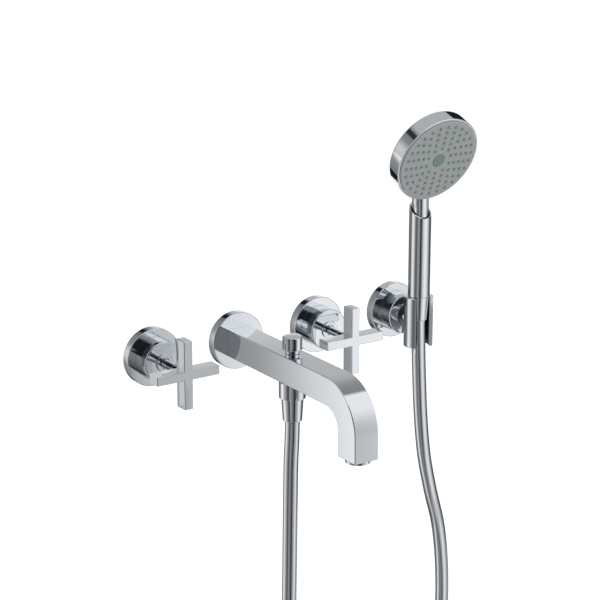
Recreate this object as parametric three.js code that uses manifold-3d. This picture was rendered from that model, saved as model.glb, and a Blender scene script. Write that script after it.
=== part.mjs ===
// A wall mounted bath faucet: two cross-handle valves, a square spout with a pull-up diverter,
// and a hand shower on its own wall holder, fed by a hose from the outlet under the spout.
// Lengths are in millimetres and angles in degrees. X runs along the wall, -Y into the room, +Z up.
// The origin is the centre of the spout's flange, on the wall.
import * as THREE from "three";
import { mergeVertices } from "three/addons/utils/BufferGeometryUtils.js";
import Module from "manifold-3d";

const wasm = await Module();
wasm.setup();

// Common values
const GAP = 0.3; // between pieces that touch, slide or screw together
const SIDES_LARGE = 28; // sides of a round piece over 30 mm across
const SIDES_MEDIUM = 18;
const SIDES_SMALL = 12;
const SIDES_TINY = 8;
const PAST = 2; // how far a cutting tool runs past the face that it cuts

// The holes in the wall
const HOLE_PITCH = 99; // between neighbouring holes, left to right: hot, spout, cold, holder

// Wall flanges, one at each hole, with a foam ring against the wall
const FLANGE_RADIUS = 30;
const FLANGE_DEPTH = 10;
const FLANGE_FRONT = 2.5; // thickness of the front plate
const FLANGE_SIDE = 3; // thickness of the side wall
const FLANGE_EDGE = 1; // chamfer of the front edge
const SEAL_BAND = 3.5; // width of the foam ring
const SEAL_DEPTH = 3;

// Sleeves that cover the valve bodies and the holder's bracket
const SLEEVE_RADIUS = 21.5;
const SLEEVE_WALL = 2;
const SLEEVE_REACH = 29.5; // from the wall to the sleeve's face
const SLEEVE_FRONT = 2.5; // thickness of the face
const SLEEVE_EDGE = 1.2;
const SLEEVE_OFF_WALL = 1;

// Valve body, with its ceramic discs and spindle
const BODY_SHOULDER_RADIUS = 12; // carries the sleeve's face
const BODY_SHOULDER_LENGTH = 12;
const BODY_RADIUS = 10.5;
const BODY_THREAD_RADIUS = 9; // screws into the pipe fitting in the wall
const BODY_THREAD_LENGTH = 16; // behind the wall's face
const BODY_NOSE_RADIUS = 5.3;
const CHAMBER_RADIUS = 7.5; // holds the ceramic discs
const CHAMBER_TOP = 2; // behind the wall's face
const SPINDLE_RADIUS = 3;
const SPINDLE_FLANGE = 3.7; // thickness of the flange that drives the moving disc
const SPINDLE_REACH = 65; // from the wall to the spindle's end, inside the handle
const SPINDLE_GROOVE_AT = 12; // from the wall to the O-ring groove
const SPINDLE_GROOVE_DEPTH = 0.8;
const ORING_BAND = 1.6; // length of an O-ring along its shaft
const ORING_CHAMBER_RADIUS = 4;
const ORING_CHAMBER_FRONT = 22; // from the wall
const DISC_THICKNESS = 2.5;
const DISC_PORT_OUTER = 5.6;
const DISC_PORT_INNER = 2.2;
const DISC_PORT_HALF_ANGLE = 50;
const SEAT_SEAL_DEPTH = 2.2;
const SEAT_SEAL_BORE = 5.6;
const BODY_WINDOW_WIDTH = 7; // outlet windows in the body's wall
const BODY_WINDOW_LENGTH = 2.4;

// Ring that clamps the sleeve to the valve body
const RING_RADIUS = 9;
const RING_PROUD = 1.2;
const RING_NECK_RADIUS = 6.7;

// Cross handle
const HANDLE_FRONT = 77.7; // from the wall to the cross's face
const HANDLE_RADIUS = 35; // from the axis to an arm's end
const BAR_WIDTH = 9.6;
const BAR_DEPTH = 15.5;
const BAR_EDGE = 1.2;
const STEM_RADIUS = 4.2;
const STEM_LENGTH = 5.2;
const FLARE_LENGTH = 8.5; // from the stem to the full hub
const HUB_RADIUS = 6;
const GRUB_RADIUS = 1.8;
const GRUB_FROM_CROSS = 9; // from the cross's back to the grub screw

// Spout, a square tube bent down through a quarter turn
const SPOUT_REACH = 222.3; // from the wall to the middle of the outlet
const SPOUT_WIDTH = 27;
const SPOUT_HEIGHT = 28.5;
const SPOUT_WALL = 3;
const SPOUT_BEND_RADIUS = 35.8; // at the middle of the tube
const SPOUT_DROP = 59.5; // from the spout's axis to its lower end
const SPOUT_EDGE = 0.6;
const SPOUT_OFF_WALL = 1;
const SPOUT_SOCKET_DEPTH = 24; // from the wall to the end of the round socket
const SPOUT_SOCKET_RADIUS = 10.2;
const BEND_STEPS = 6;

// Pipe nipple that carries the spout
const NIPPLE_BORE = 6.5;
const NIPPLE_REACH = 21;
const NIPPLE_TAIL = 16; // behind the wall's face
const NIPPLE_GROOVE_AT = 6;
const NIPPLE_GROOVE_DEPTH = 1.6;
const SPOUT_SCREW_RADIUS = 2.2;
const SPOUT_SCREW_AT = 15; // from the wall
const SCREW_SINK = 0.4; // how far a grub screw's outer end lies below the surface

// Aerator in the spout's end
const AERATOR_RADIUS = 12.2;
const AERATOR_PROUD = 3.5;
const AERATOR_THREAD_RADIUS = 11;
const AERATOR_BORE = 9;
const AERATOR_HOLD = 12; // length of the bore that holds the aerator
const AERATOR_LIP = 1.6;
const AERATOR_LIP_BORE = 8;
const AERATOR_SEAL_DEPTH = 1.6;
const AERATOR_NECK = 3; // round passage above the aerator
const AERATOR_HOLE_RADIUS = 1.5;
const AERATOR_HOLE_RING = 5.2;
const AERATOR_HOLES = 6;

// Diverter: a knob on the spout lifts a valve from the shower's seat to the spout's seat
const DIVERTER_REACH = 110; // from the wall to the axis of the knob and of the shower outlet
const KNOB_RADIUS = 9.8;
const KNOB_HEIGHT = 14.2;
const KNOB_EDGE = 0.8;
const KNOB_SOCKET_DEPTH = 12;
const BUSH_RADIUS = 7;
const BUSH_HEIGHT = 3.7; // above the spout
const BUSH_THREAD_RADIUS = 5.2;
const BUSH_THREAD_LENGTH = 4.5;
const ROD_RADIUS = 2.5;
const ROD_SPIGOT_RADIUS = 1.8;
const ROD_HEAD_RADIUS = 3;
const ROD_HEAD_LENGTH = 1.2;
const DIVERTER_DISC_RADIUS = 7.5;
const DIVERTER_DISC_THICKNESS = 4.5;
const DIVERTER_TRAVEL = 6.6;
const PARTITION_WALL = 2;
const PARTITION_LENGTH = 24;
const SPOUT_SEAT_BORE = 5;

// Shower outlet under the spout
const OUTLET_RADIUS = 13.5;
const OUTLET_HEIGHT = 17;
const OUTLET_EDGE = 0.6;
const OUTLET_SPIGOT_RADIUS = 8;
const OUTLET_SEAT_RISE = 2; // of the seat above the spout's floor
const OUTLET_BORE = 5;
const OUTLET_THREAD_RADIUS = 10;
const OUTLET_THREAD_LENGTH = 8.5;
const CHECK_RADIUS = 6.7;
const CHECK_LENGTH = 18;
const CHECK_BORE = 2.5;
const WASHER_DEPTH = 2;
const WASHER_BORE = 5.5;

// Hose ends
const HOSE_RADIUS = 7.5;
const HOSE_SIDES = 8;
const HOSE_STEPS = 44;
const TAIL_RADIUS = 5.5;
const TAIL_BORE = 3.5;
const TAIL_FLANGE = 2;
const NUT_TOP_RADIUS = 11.2;
const NUT_BOTTOM_RADIUS = 9.7;
const NUT_HEIGHT = 23.5;
const NUT_EDGE = 0.8;
const CONE_TOP_RADIUS = 10.9;
const CONE_BOTTOM_RADIUS = 9.2;
const CONE_HEIGHT = 26;
const SHOWER_THREAD_RADIUS = 9.3;
const SHOWER_THREAD_LENGTH = 10;

// Shower holder: an arm from the wall with a slotted upright cup
const CUP_REACH = 52.5; // from the wall to the cup's axis
const CUP_RADIUS = 15.5;
const CUP_BORE = 11.3;
const CUP_TOP = 26.5; // above the line of the holes
const CUP_BOTTOM = -28.5;
const CUP_EDGE = 1.2;
const CUP_SLOT_HALF_ANGLE = 46;
const ARM_RADIUS = 11;
const ARM_COLLAR_RADIUS = 14;
const ARM_COLLAR_LENGTH = 2.7;
const ARM_SOCKET_END = 36; // from the wall
const STUD_PLATE_RADIUS = 17;
const STUD_PLATE_THICKNESS = 4;
const STUD_RADIUS = 7;
const STUD_THREAD_RADIUS = 6; // screws into the wall
const STUD_THREAD_LENGTH = 20;

// Hand shower handle
const GRIP_RADIUS = 11.65;
const GRIP_BORE = 10;
const GRIP_SOCKET_LENGTH = 22; // narrow top of the grip, around the neck
const GRIP_FLOOR = 3.5;
const GRIP_CUT_AT = 119.5; // of the slanted top, at the axis, above the line of the holes
const GRIP_CUT_SLOPE = 31;
const INLET_BORE = 6;
const NECK_RADIUS = 8.8;
const NECK_BORE = 5.5;
const NECK_IN_GRIP = 18; // below the slanted top, at the axis

// Shower head, leaning over the bath
const HEAD_RADIUS = 48.7;
const HEAD_DEPTH = 17.5;
const HEAD_CROWN = 2; // rise of the back's middle
const HEAD_SIDE = 2.2;
const HEAD_BACK = 2.5;
const HEAD_EDGE = 3;
const HEAD_LEAN = 22.3;
const HEAD_AHEAD = 28; // from the handle's axis to the middle of the rim's front
const HEAD_RISE = 178.4; // above the line of the holes
const LEDGE_WIDTH = 2.8;
const PLATE_PROUD = 1.8;
const PLATE_THICKNESS = 3.2;
const PLATE_EDGE = 0.8;
const MAT_THICKNESS = 2;
const NOZZLE_RADIUS = 1.1;
const NOZZLE_PROUD = 1.2;
const NOZZLE_SIDES = 4;
const NOZZLE_FIRST_RING = 15;
const NOZZLE_RING_STEP = 6.3;
const NOZZLE_FIRST_COUNT = 10;
const NOZZLE_COUNT_STEP = 4;
const NOZZLE_RINGS = 5;
const CAP_RADIUS = 7;
const CAP_THICKNESS = 1.2;
const CAP_SINK = 0.9; // of the cap's seat below the plate's face
const PLATE_HUB_RADIUS = 9;
const PLATE_HUB_LENGTH = 5;
const HEAD_BOSS_RADIUS = 5;
const HEAD_SCREW_RADIUS = 1.5;
const HEAD_SCREW_HEAD_RADIUS = 2.8;
const HEAD_SCREW_HEAD = 1.6;
const HEAD_SCREW_HOLD = 4; // length in the boss

// Route of the hose from the outlet under the spout, down, and back up to the hand shower.
const HOSE_ROUTE = [
  [0, -110, -55.9],
  [-0.6, -110.1, -75],
  [-2.2, -110.6, -100],
  [-3.2, -110.9, -140],
  [-4.3, -111.2, -200],
  [-5.7, -111.7, -270],
  [-6.8, -112, -340],
  [-5.4, -111.6, -405],
  [1.2, -109.7, -463],
  [18, -104.8, -519],
  [49, -95.8, -562],
  [90.5, -83.7, -583],
  [134, -71.1, -582],
  [174.5, -59.3, -562],
  [208, -49.6, -524],
  [231.2, -42.9, -474],
  [244.4, -39, -417],
  [249.8, -37.4, -358],
  [248.2, -37.9, -301],
  [240, -40.3, -250],
  [224.6, -44.8, -203],
  [212.2, -48.4, -158],
  [205, -50.5, -110],
  [201.3, -51.5, -65],
  [199.1, -52.2, -30],
  [198, -52.5, 0.2],
];

const chrome = new THREE.MeshStandardMaterial({ color: 0xd8dadd, roughness: 0.08, metalness: 1 });
const brass = new THREE.MeshStandardMaterial({ color: 0xb8934a, roughness: 0.35, metalness: 1 });
const steel = new THREE.MeshStandardMaterial({ color: 0x9da1a6, roughness: 0.35, metalness: 1 });
const rubber = new THREE.MeshStandardMaterial({ color: 0x1d1e20, roughness: 0.75, metalness: 0 });
const ceramic = new THREE.MeshStandardMaterial({ color: 0xe9e6dd, roughness: 0.25, metalness: 0 });
const foam = new THREE.MeshStandardMaterial({ color: 0x55585c, roughness: 0.9, metalness: 0 });
const whitePlastic = new THREE.MeshStandardMaterial({ color: 0xdcdedf, roughness: 0.45, metalness: 0 });
const greyPlastic = new THREE.MeshStandardMaterial({ color: 0x969b9b, roughness: 0.4, metalness: 0 });
const greyRubber = new THREE.MeshStandardMaterial({ color: 0x5f6665, roughness: 0.6, metalness: 0 });

const radians = THREE.MathUtils.degToRad;

function piece(name, geometry, material) {
  const mesh = new THREE.Mesh(geometry, material.clone());
  mesh.name = name;
  return mesh;
}

function group(x, y, z, ...members) {
  const made = new THREE.Group();
  made.position.set(x, y, z);
  made.add(...members);
  return made;
}

// A round piece about the Y axis, from its outline as [radius, y] points. An outline that
// doesn't end on the axis closes on itself.
function turned(outline, sides) {
  const points = outline.map(([radius, y]) => new THREE.Vector2(radius, y));
  const onAxis = points[0].x === 0 && points[points.length - 1].x === 0;
  if (!onAxis) points.push(points[0].clone());
  if (THREE.ShapeUtils.area(points) < 0) points.reverse();
  return new THREE.LatheGeometry(points, sides);
}

// The same about the Z axis, from [radius, z] points.
function turnedUpright(outline, sides) {
  return turned(outline, sides).rotateX(Math.PI / 2);
}

function rod(radius, from, to, sides) {
  return turned([[0, from], [radius, from], [radius, to], [0, to]], sides);
}

function tube(radius, bore, from, to, sides) {
  return turned([[bore, from], [radius, from], [radius, to], [bore, to]], sides);
}

function box(sizeX, sizeY, sizeZ, x, y, z) {
  return new THREE.BoxGeometry(sizeX, sizeY, sizeZ).translate(x, y, z);
}

function solid(geometry) {
  const bare = geometry.clone();
  bare.deleteAttribute("normal");
  bare.deleteAttribute("uv");
  const merged = mergeVertices(bare, 1e-4);
  const vertProperties = merged.attributes.position.array;
  const triVerts = new Uint32Array(merged.index.array);
  return new wasm.Manifold(new wasm.Mesh({ numProp: 3, vertProperties, triVerts }));
}

function geometryOf(manifold) {
  const { vertProperties, triVerts } = manifold.getMesh();
  const geometry = new THREE.BufferGeometry();
  geometry.setAttribute("position", new THREE.BufferAttribute(vertProperties, 3));
  geometry.setIndex(new THREE.BufferAttribute(triVerts, 1));
  geometry.computeVertexNormals();
  return geometry;
}

function cut(geometry, ...tools) {
  return geometryOf(tools.reduce((rest, tool) => rest.subtract(solid(tool)), solid(geometry)));
}

// Wall flanges and their foam rings

function roundFlange(bore) {
  return turned(
    [
      [bore, -FLANGE_DEPTH],
      [FLANGE_RADIUS - FLANGE_EDGE, -FLANGE_DEPTH],
      [FLANGE_RADIUS, FLANGE_EDGE - FLANGE_DEPTH],
      [FLANGE_RADIUS, 0],
      [FLANGE_RADIUS - FLANGE_SIDE, 0],
      [FLANGE_RADIUS - FLANGE_SIDE, FLANGE_FRONT - FLANGE_DEPTH],
      [bore, FLANGE_FRONT - FLANGE_DEPTH],
    ],
    SIDES_LARGE,
  );
}

function squareFlange() {
  const opening = box(SPOUT_WIDTH + 2 * GAP, 4 * FLANGE_DEPTH, SPOUT_HEIGHT + 2 * GAP, 0, 0, 0);
  return cut(roundFlange(0), opening);
}

function wallSeal() {
  const outer = FLANGE_RADIUS - FLANGE_SIDE - GAP;
  return tube(outer, outer - SEAL_BAND, -SEAL_DEPTH, 0, SIDES_MEDIUM);
}

function sleeve(opening) {
  const inner = SLEEVE_RADIUS - SLEEVE_WALL;
  return turned(
    [
      [opening, -SLEEVE_REACH],
      [SLEEVE_RADIUS - SLEEVE_EDGE, -SLEEVE_REACH],
      [SLEEVE_RADIUS, SLEEVE_EDGE - SLEEVE_REACH],
      [SLEEVE_RADIUS, -SLEEVE_OFF_WALL],
      [inner, -SLEEVE_OFF_WALL],
      [inner, SLEEVE_FRONT - SLEEVE_REACH],
      [opening, SLEEVE_FRONT - SLEEVE_REACH],
    ],
    SIDES_LARGE,
  );
}

// Valve pieces

const shoulderFront = SLEEVE_FRONT + GAP - SLEEVE_REACH;
const ringFront = -SLEEVE_REACH - GAP - RING_PROUD;
const spindleBore = SPINDLE_RADIUS + GAP;
const spindleFlangeBack = CHAMBER_TOP + GAP + SPINDLE_FLANGE;
const movingDiscAt = spindleFlangeBack + GAP;
const fixedDiscAt = movingDiscAt + DISC_THICKNESS + GAP;
const seatSealAt = fixedDiscAt + DISC_THICKNESS + GAP;

function valveBody() {
  const noseFront = -SLEEVE_REACH;
  const outline = [
    [spindleBore, noseFront],
    [BODY_NOSE_RADIUS, noseFront],
    [BODY_NOSE_RADIUS, shoulderFront],
    [BODY_SHOULDER_RADIUS, shoulderFront],
    [BODY_SHOULDER_RADIUS, shoulderFront + BODY_SHOULDER_LENGTH],
    [BODY_RADIUS, shoulderFront + BODY_SHOULDER_LENGTH],
    [BODY_RADIUS, 0],
    [BODY_THREAD_RADIUS, 0],
    [BODY_THREAD_RADIUS, BODY_THREAD_LENGTH],
    [CHAMBER_RADIUS, BODY_THREAD_LENGTH],
    [CHAMBER_RADIUS, CHAMBER_TOP],
    [ORING_CHAMBER_RADIUS, CHAMBER_TOP],
    [ORING_CHAMBER_RADIUS, -ORING_CHAMBER_FRONT],
    [spindleBore, -ORING_CHAMBER_FRONT],
  ];
  const windowAt = movingDiscAt - BODY_WINDOW_LENGTH / 2;
  const windows = box(BODY_WINDOW_WIDTH, BODY_WINDOW_LENGTH, 4 * BODY_RADIUS, 0, windowAt, 0);
  return cut(turned(outline, SIDES_MEDIUM), windows);
}

function spindle() {
  const grooveRadius = SPINDLE_RADIUS - SPINDLE_GROOVE_DEPTH;
  const grooveBack = -SPINDLE_GROOVE_AT;
  const grooveFront = grooveBack - ORING_BAND - 2 * GAP;
  return turned(
    [
      [0, -SPINDLE_REACH],
      [SPINDLE_RADIUS, -SPINDLE_REACH],
      [SPINDLE_RADIUS, grooveFront],
      [grooveRadius, grooveFront],
      [grooveRadius, grooveBack],
      [SPINDLE_RADIUS, grooveBack],
      [SPINDLE_RADIUS, CHAMBER_TOP + GAP],
      [CHAMBER_RADIUS - GAP, CHAMBER_TOP + GAP],
      [CHAMBER_RADIUS - GAP, spindleFlangeBack],
      [0, spindleFlangeBack],
    ],
    SIDES_SMALL,
  );
}

function spindleRing() {
  const bore = SPINDLE_RADIUS - SPINDLE_GROOVE_DEPTH + GAP;
  const back = -SPINDLE_GROOVE_AT - GAP;
  return tube(ORING_CHAMBER_RADIUS - GAP, bore, back - ORING_BAND, back, SIDES_SMALL);
}

function arcPoints(radius, from, to, steps) {
  const points = [];
  for (let i = 0; i <= steps; i += 1) {
    const angle = radians(from + ((to - from) * i) / steps);
    points.push(new THREE.Vector2(radius * Math.cos(angle), radius * Math.sin(angle)));
  }
  return points;
}

// A ceramic disc with two facing ports, whose front face lies at y.
function ceramicDisc(y) {
  const shape = new THREE.Shape(arcPoints(CHAMBER_RADIUS - GAP, 0, 360, SIDES_MEDIUM).slice(1));
  for (const middle of [90, 270]) {
    const from = middle - DISC_PORT_HALF_ANGLE;
    const to = middle + DISC_PORT_HALF_ANGLE;
    const port = [...arcPoints(DISC_PORT_OUTER, from, to, 4), ...arcPoints(DISC_PORT_INNER, to, from, 2)];
    shape.holes.push(new THREE.Path(port));
  }
  const flat = new THREE.ExtrudeGeometry(shape, { depth: DISC_THICKNESS, bevelEnabled: false });
  return flat.rotateX(Math.PI / 2).translate(0, y + DISC_THICKNESS, 0);
}

function seatSeal() {
  const outer = CHAMBER_RADIUS - GAP;
  return tube(outer, SEAT_SEAL_BORE, seatSealAt, seatSealAt + SEAT_SEAL_DEPTH, SIDES_SMALL);
}

function clampRing() {
  const bore = BODY_NOSE_RADIUS + GAP;
  const headBack = -SLEEVE_REACH - GAP;
  const neckBack = shoulderFront - GAP;
  return turned(
    [
      [bore, ringFront],
      [RING_RADIUS - RING_PROUD / 2, ringFront],
      [RING_RADIUS, ringFront + RING_PROUD / 2],
      [RING_RADIUS, headBack],
      [RING_NECK_RADIUS, headBack],
      [RING_NECK_RADIUS, neckBack],
      [bore, neckBack],
    ],
    SIDES_MEDIUM,
  );
}

// Cross handle

const crossBack = -HANDLE_FRONT + BAR_DEPTH;
const handleGrubAt = crossBack + GRUB_FROM_CROSS;
const handleBore = SPINDLE_RADIUS + GAP;

function crossShape() {
  const half = BAR_WIDTH / 2;
  const quarter = [[HANDLE_RADIUS, -half], [HANDLE_RADIUS, half], [half, half]];
  const centre = new THREE.Vector2();
  const corners = [];
  for (let turn = 0; turn < 4; turn += 1) {
    for (const [x, y] of quarter) {
      corners.push(new THREE.Vector2(x, y).rotateAround(centre, (turn * Math.PI) / 2));
    }
  }
  return new THREE.Shape(corners);
}

function crossHandle() {
  const bars = new THREE.ExtrudeGeometry(crossShape(), {
    depth: BAR_DEPTH - 2 * BAR_EDGE,
    bevelThickness: BAR_EDGE,
    bevelSize: BAR_EDGE,
    bevelOffset: -BAR_EDGE,
    bevelSegments: 1,
  });
  bars.translate(0, 0, HANDLE_FRONT - BAR_DEPTH + BAR_EDGE).rotateX(Math.PI / 2);
  const stemBack = ringFront - GAP;
  const flareBack = stemBack - STEM_LENGTH;
  const hub = turned(
    [
      [0, crossBack - BAR_DEPTH / 2],
      [HUB_RADIUS, crossBack - BAR_DEPTH / 2],
      [HUB_RADIUS, flareBack - FLARE_LENGTH],
      [STEM_RADIUS, flareBack],
      [STEM_RADIUS, stemBack],
      [0, stemBack],
    ],
    SIDES_MEDIUM,
  );
  const bore = rod(handleBore, -SPINDLE_REACH - GAP, stemBack + PAST, SIDES_SMALL);
  const joined = solid(bars).add(solid(hub)).subtract(solid(bore));
  return geometryOf(joined.subtract(solid(radialRod(GRUB_RADIUS + GAP, 0, 2 * HUB_RADIUS, handleGrubAt))));
}

// A rod that points straight down from a horizontal axis, from one radius to another.
function radialRod(radius, from, to, y) {
  return rod(radius, -to, -from, SIDES_TINY).rotateX(Math.PI / 2).translate(0, y, 0);
}

function handleGrub() {
  return radialRod(GRUB_RADIUS, handleBore, HUB_RADIUS - SCREW_SINK, handleGrubAt);
}

function valve(side, x) {
  return group(
    x, 0, 0,
    piece(`${side}_wall_flange`, roundFlange(SLEEVE_RADIUS + GAP), chrome),
    piece(`${side}_wall_seal`, wallSeal(), foam),
    piece(`${side}_sleeve`, sleeve(RING_NECK_RADIUS + GAP), chrome),
    piece(`${side}_valve_body`, valveBody(), brass),
    piece(`${side}_moving_disc`, ceramicDisc(movingDiscAt), ceramic),
    piece(`${side}_fixed_disc`, ceramicDisc(fixedDiscAt), ceramic),
    piece(`${side}_seat_seal`, seatSeal(), rubber),
    piece(`${side}_spindle`, spindle(), brass),
    piece(`${side}_spindle_oring`, spindleRing(), rubber),
    piece(`${side}_clamp_ring`, clampRing(), chrome),
    piece(`${side}_cross_handle`, crossHandle(), chrome),
    piece(`${side}_handle_screw`, handleGrub(), steel),
  );
}

// Spout

const spoutHalf = SPOUT_HEIGHT / 2;
const spoutTop = spoutHalf;
const channelFloor = SPOUT_WALL - spoutHalf;
const channelCeiling = spoutHalf - SPOUT_WALL;
const spoutEnd = -SPOUT_DROP;
const aeratorShoulder = spoutEnd + AERATOR_HOLD;

// The spout's side view inset by a wall, drawn with the distance from the wall to the right.
function spoutOutline(inset, back, end) {
  const centre = SPOUT_REACH - SPOUT_BEND_RADIUS;
  const inner = SPOUT_BEND_RADIUS - spoutHalf + inset;
  const outer = SPOUT_BEND_RADIUS + spoutHalf - inset;
  const shape = new THREE.Shape();
  shape.moveTo(back, inset - spoutHalf);
  shape.lineTo(centre, inset - spoutHalf);
  shape.absarc(centre, -SPOUT_BEND_RADIUS, inner, Math.PI / 2, 0, true);
  shape.lineTo(centre + inner, end);
  shape.lineTo(centre + outer, end);
  shape.absarc(centre, -SPOUT_BEND_RADIUS, outer, 0, Math.PI / 2, false);
  shape.lineTo(back, spoutHalf - inset);
  shape.closePath();
  return shape;
}

// A side view made as wide as the spout, centred on it.
function acrossSpout(shape, width, edge) {
  const options = {
    depth: width - 2 * edge,
    bevelEnabled: edge > 0,
    bevelThickness: edge,
    bevelSize: edge,
    bevelOffset: -edge,
    bevelSegments: 1,
    curveSegments: BEND_STEPS,
  };
  const flat = new THREE.ExtrudeGeometry(shape, options).translate(0, 0, edge - width / 2);
  const away = new THREE.Vector3(0, -1, 0);
  const up = new THREE.Vector3(0, 0, 1);
  const turn = new THREE.Matrix4().makeBasis(away, up, away.clone().cross(up));
  return flat.applyMatrix4(turn);
}

function uprightRod(radius, low, high, y, sides) {
  return rod(radius, low, high, sides).rotateX(Math.PI / 2).translate(0, y, 0);
}

function spoutBody() {
  const outside = acrossSpout(spoutOutline(0, SPOUT_OFF_WALL, spoutEnd), SPOUT_WIDTH, SPOUT_EDGE);
  const channelEnd = aeratorShoulder + AERATOR_NECK;
  const channelShape = spoutOutline(SPOUT_WALL, SPOUT_SOCKET_DEPTH, channelEnd);
  const channel = acrossSpout(channelShape, SPOUT_WIDTH - 2 * SPOUT_WALL, 0);
  const socket = rod(SPOUT_SOCKET_RADIUS, -SPOUT_SOCKET_DEPTH - PAST, 0, SIDES_MEDIUM);
  const neck = uprightRod(AERATOR_BORE, aeratorShoulder - PAST, channelEnd + PAST, -SPOUT_REACH, SIDES_MEDIUM);
  const hold = AERATOR_THREAD_RADIUS + GAP;
  const aeratorBore = uprightRod(hold, spoutEnd - PAST, aeratorShoulder, -SPOUT_REACH, SIDES_MEDIUM);
  const bushHole = uprightRod(
    BUSH_THREAD_RADIUS + GAP, 0, spoutTop + PAST, -DIVERTER_REACH, SIDES_SMALL,
  );
  const outletHole = uprightRod(
    OUTLET_SPIGOT_RADIUS + GAP, -spoutHalf - PAST, 0, -DIVERTER_REACH, SIDES_MEDIUM,
  );
  const screwHole = radialRod(SPOUT_SCREW_RADIUS + GAP, 0, SPOUT_HEIGHT, -SPOUT_SCREW_AT);
  return cut(outside, channel, socket, neck, aeratorBore, bushHole, outletHole, screwHole);
}

function spoutNipple() {
  const radius = SPOUT_SOCKET_RADIUS - GAP;
  const grooveFront = -NIPPLE_GROOVE_AT - ORING_BAND - 2 * GAP;
  return turned(
    [
      [NIPPLE_BORE, -NIPPLE_REACH],
      [radius, -NIPPLE_REACH],
      [radius, grooveFront],
      [radius - NIPPLE_GROOVE_DEPTH, grooveFront],
      [radius - NIPPLE_GROOVE_DEPTH, -NIPPLE_GROOVE_AT],
      [radius, -NIPPLE_GROOVE_AT],
      [radius, NIPPLE_TAIL],
      [NIPPLE_BORE, NIPPLE_TAIL],
    ],
    SIDES_MEDIUM,
  );
}

function nippleRing() {
  const bore = SPOUT_SOCKET_RADIUS - NIPPLE_GROOVE_DEPTH;
  const back = -NIPPLE_GROOVE_AT - GAP;
  return tube(SPOUT_SOCKET_RADIUS - GAP, bore, back - ORING_BAND, back, SIDES_MEDIUM);
}

function spoutScrew() {
  return radialRod(
    SPOUT_SCREW_RADIUS, SPOUT_SOCKET_RADIUS, spoutHalf - SCREW_SINK, -SPOUT_SCREW_AT,
  );
}

// Aerator

const aeratorTop = aeratorShoulder - GAP - AERATOR_SEAL_DEPTH - GAP;
const aeratorBottom = spoutEnd - AERATOR_PROUD;

function aeratorSeal() {
  const top = aeratorShoulder - GAP;
  const outline = [
    [AERATOR_BORE, top - AERATOR_SEAL_DEPTH],
    [AERATOR_THREAD_RADIUS, top - AERATOR_SEAL_DEPTH],
    [AERATOR_THREAD_RADIUS, top],
    [AERATOR_BORE, top],
  ];
  return turnedUpright(outline, SIDES_MEDIUM);
}

function aeratorHousing() {
  return turnedUpright(
    [
      [AERATOR_LIP_BORE, aeratorBottom],
      [AERATOR_RADIUS - GAP, aeratorBottom],
      [AERATOR_RADIUS, aeratorBottom + GAP],
      [AERATOR_RADIUS, spoutEnd - GAP],
      [AERATOR_THREAD_RADIUS, spoutEnd - GAP],
      [AERATOR_THREAD_RADIUS, aeratorTop],
      [AERATOR_BORE, aeratorTop],
      [AERATOR_BORE, aeratorBottom + AERATOR_LIP],
      [AERATOR_LIP_BORE, aeratorBottom + AERATOR_LIP],
    ],
    SIDES_MEDIUM,
  );
}

function aeratorInsert() {
  const low = aeratorBottom + AERATOR_LIP + GAP;
  const body = uprightRod(AERATOR_BORE - GAP, low, aeratorTop, 0, SIDES_MEDIUM);
  const holes = [];
  for (let i = 0; i < AERATOR_HOLES; i += 1) {
    const angle = (i * 2 * Math.PI) / AERATOR_HOLES;
    const hole = uprightRod(AERATOR_HOLE_RADIUS, low - PAST, aeratorTop + PAST, 0, SIDES_TINY);
    hole.translate(AERATOR_HOLE_RING * Math.cos(angle), AERATOR_HOLE_RING * Math.sin(angle), 0);
    holes.push(hole);
  }
  return cut(body, ...holes);
}

// Diverter

const seatTop = channelFloor + OUTLET_SEAT_RISE;
const discBottom = seatTop + GAP;
const discTop = discBottom + DIVERTER_DISC_THICKNESS;
const partitionBottom = discTop + DIVERTER_TRAVEL + GAP;
const bushTop = spoutTop + GAP + BUSH_HEIGHT;
const knobBottom = bushTop + GAP;
const rodTop = knobBottom + KNOB_SOCKET_DEPTH - GAP;

// A stepped wall across the channel, so that water passes up through its seat to reach the spout.
function diverterPartition() {
  const floor = channelFloor + GAP;
  const ceiling = channelCeiling - GAP;
  const plateTop = partitionBottom + PARTITION_WALL;
  const back = DIVERTER_REACH - PARTITION_LENGTH / 2;
  const front = DIVERTER_REACH + PARTITION_LENGTH / 2;
  const shape = new THREE.Shape();
  shape.moveTo(front, floor);
  shape.lineTo(front, plateTop);
  shape.lineTo(back + PARTITION_WALL, plateTop);
  shape.lineTo(back + PARTITION_WALL, ceiling);
  shape.lineTo(back, ceiling);
  shape.lineTo(back, partitionBottom);
  shape.lineTo(front - PARTITION_WALL, partitionBottom);
  shape.lineTo(front - PARTITION_WALL, floor);
  shape.closePath();
  const wall = acrossSpout(shape, SPOUT_WIDTH - 2 * SPOUT_WALL - 2 * GAP, 0);
  const seat = uprightRod(
    SPOUT_SEAT_BORE, partitionBottom - PAST, plateTop + PAST, -DIVERTER_REACH, SIDES_SMALL,
  );
  return cut(wall, seat);
}

function diverterBush() {
  return turnedUpright(
    [
      [ROD_RADIUS + GAP, spoutTop + GAP - BUSH_THREAD_LENGTH],
      [BUSH_THREAD_RADIUS, spoutTop + GAP - BUSH_THREAD_LENGTH],
      [BUSH_THREAD_RADIUS, spoutTop + GAP],
      [BUSH_RADIUS, spoutTop + GAP],
      [BUSH_RADIUS, bushTop],
      [ROD_RADIUS + GAP, bushTop],
    ],
    SIDES_MEDIUM,
  );
}

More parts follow.
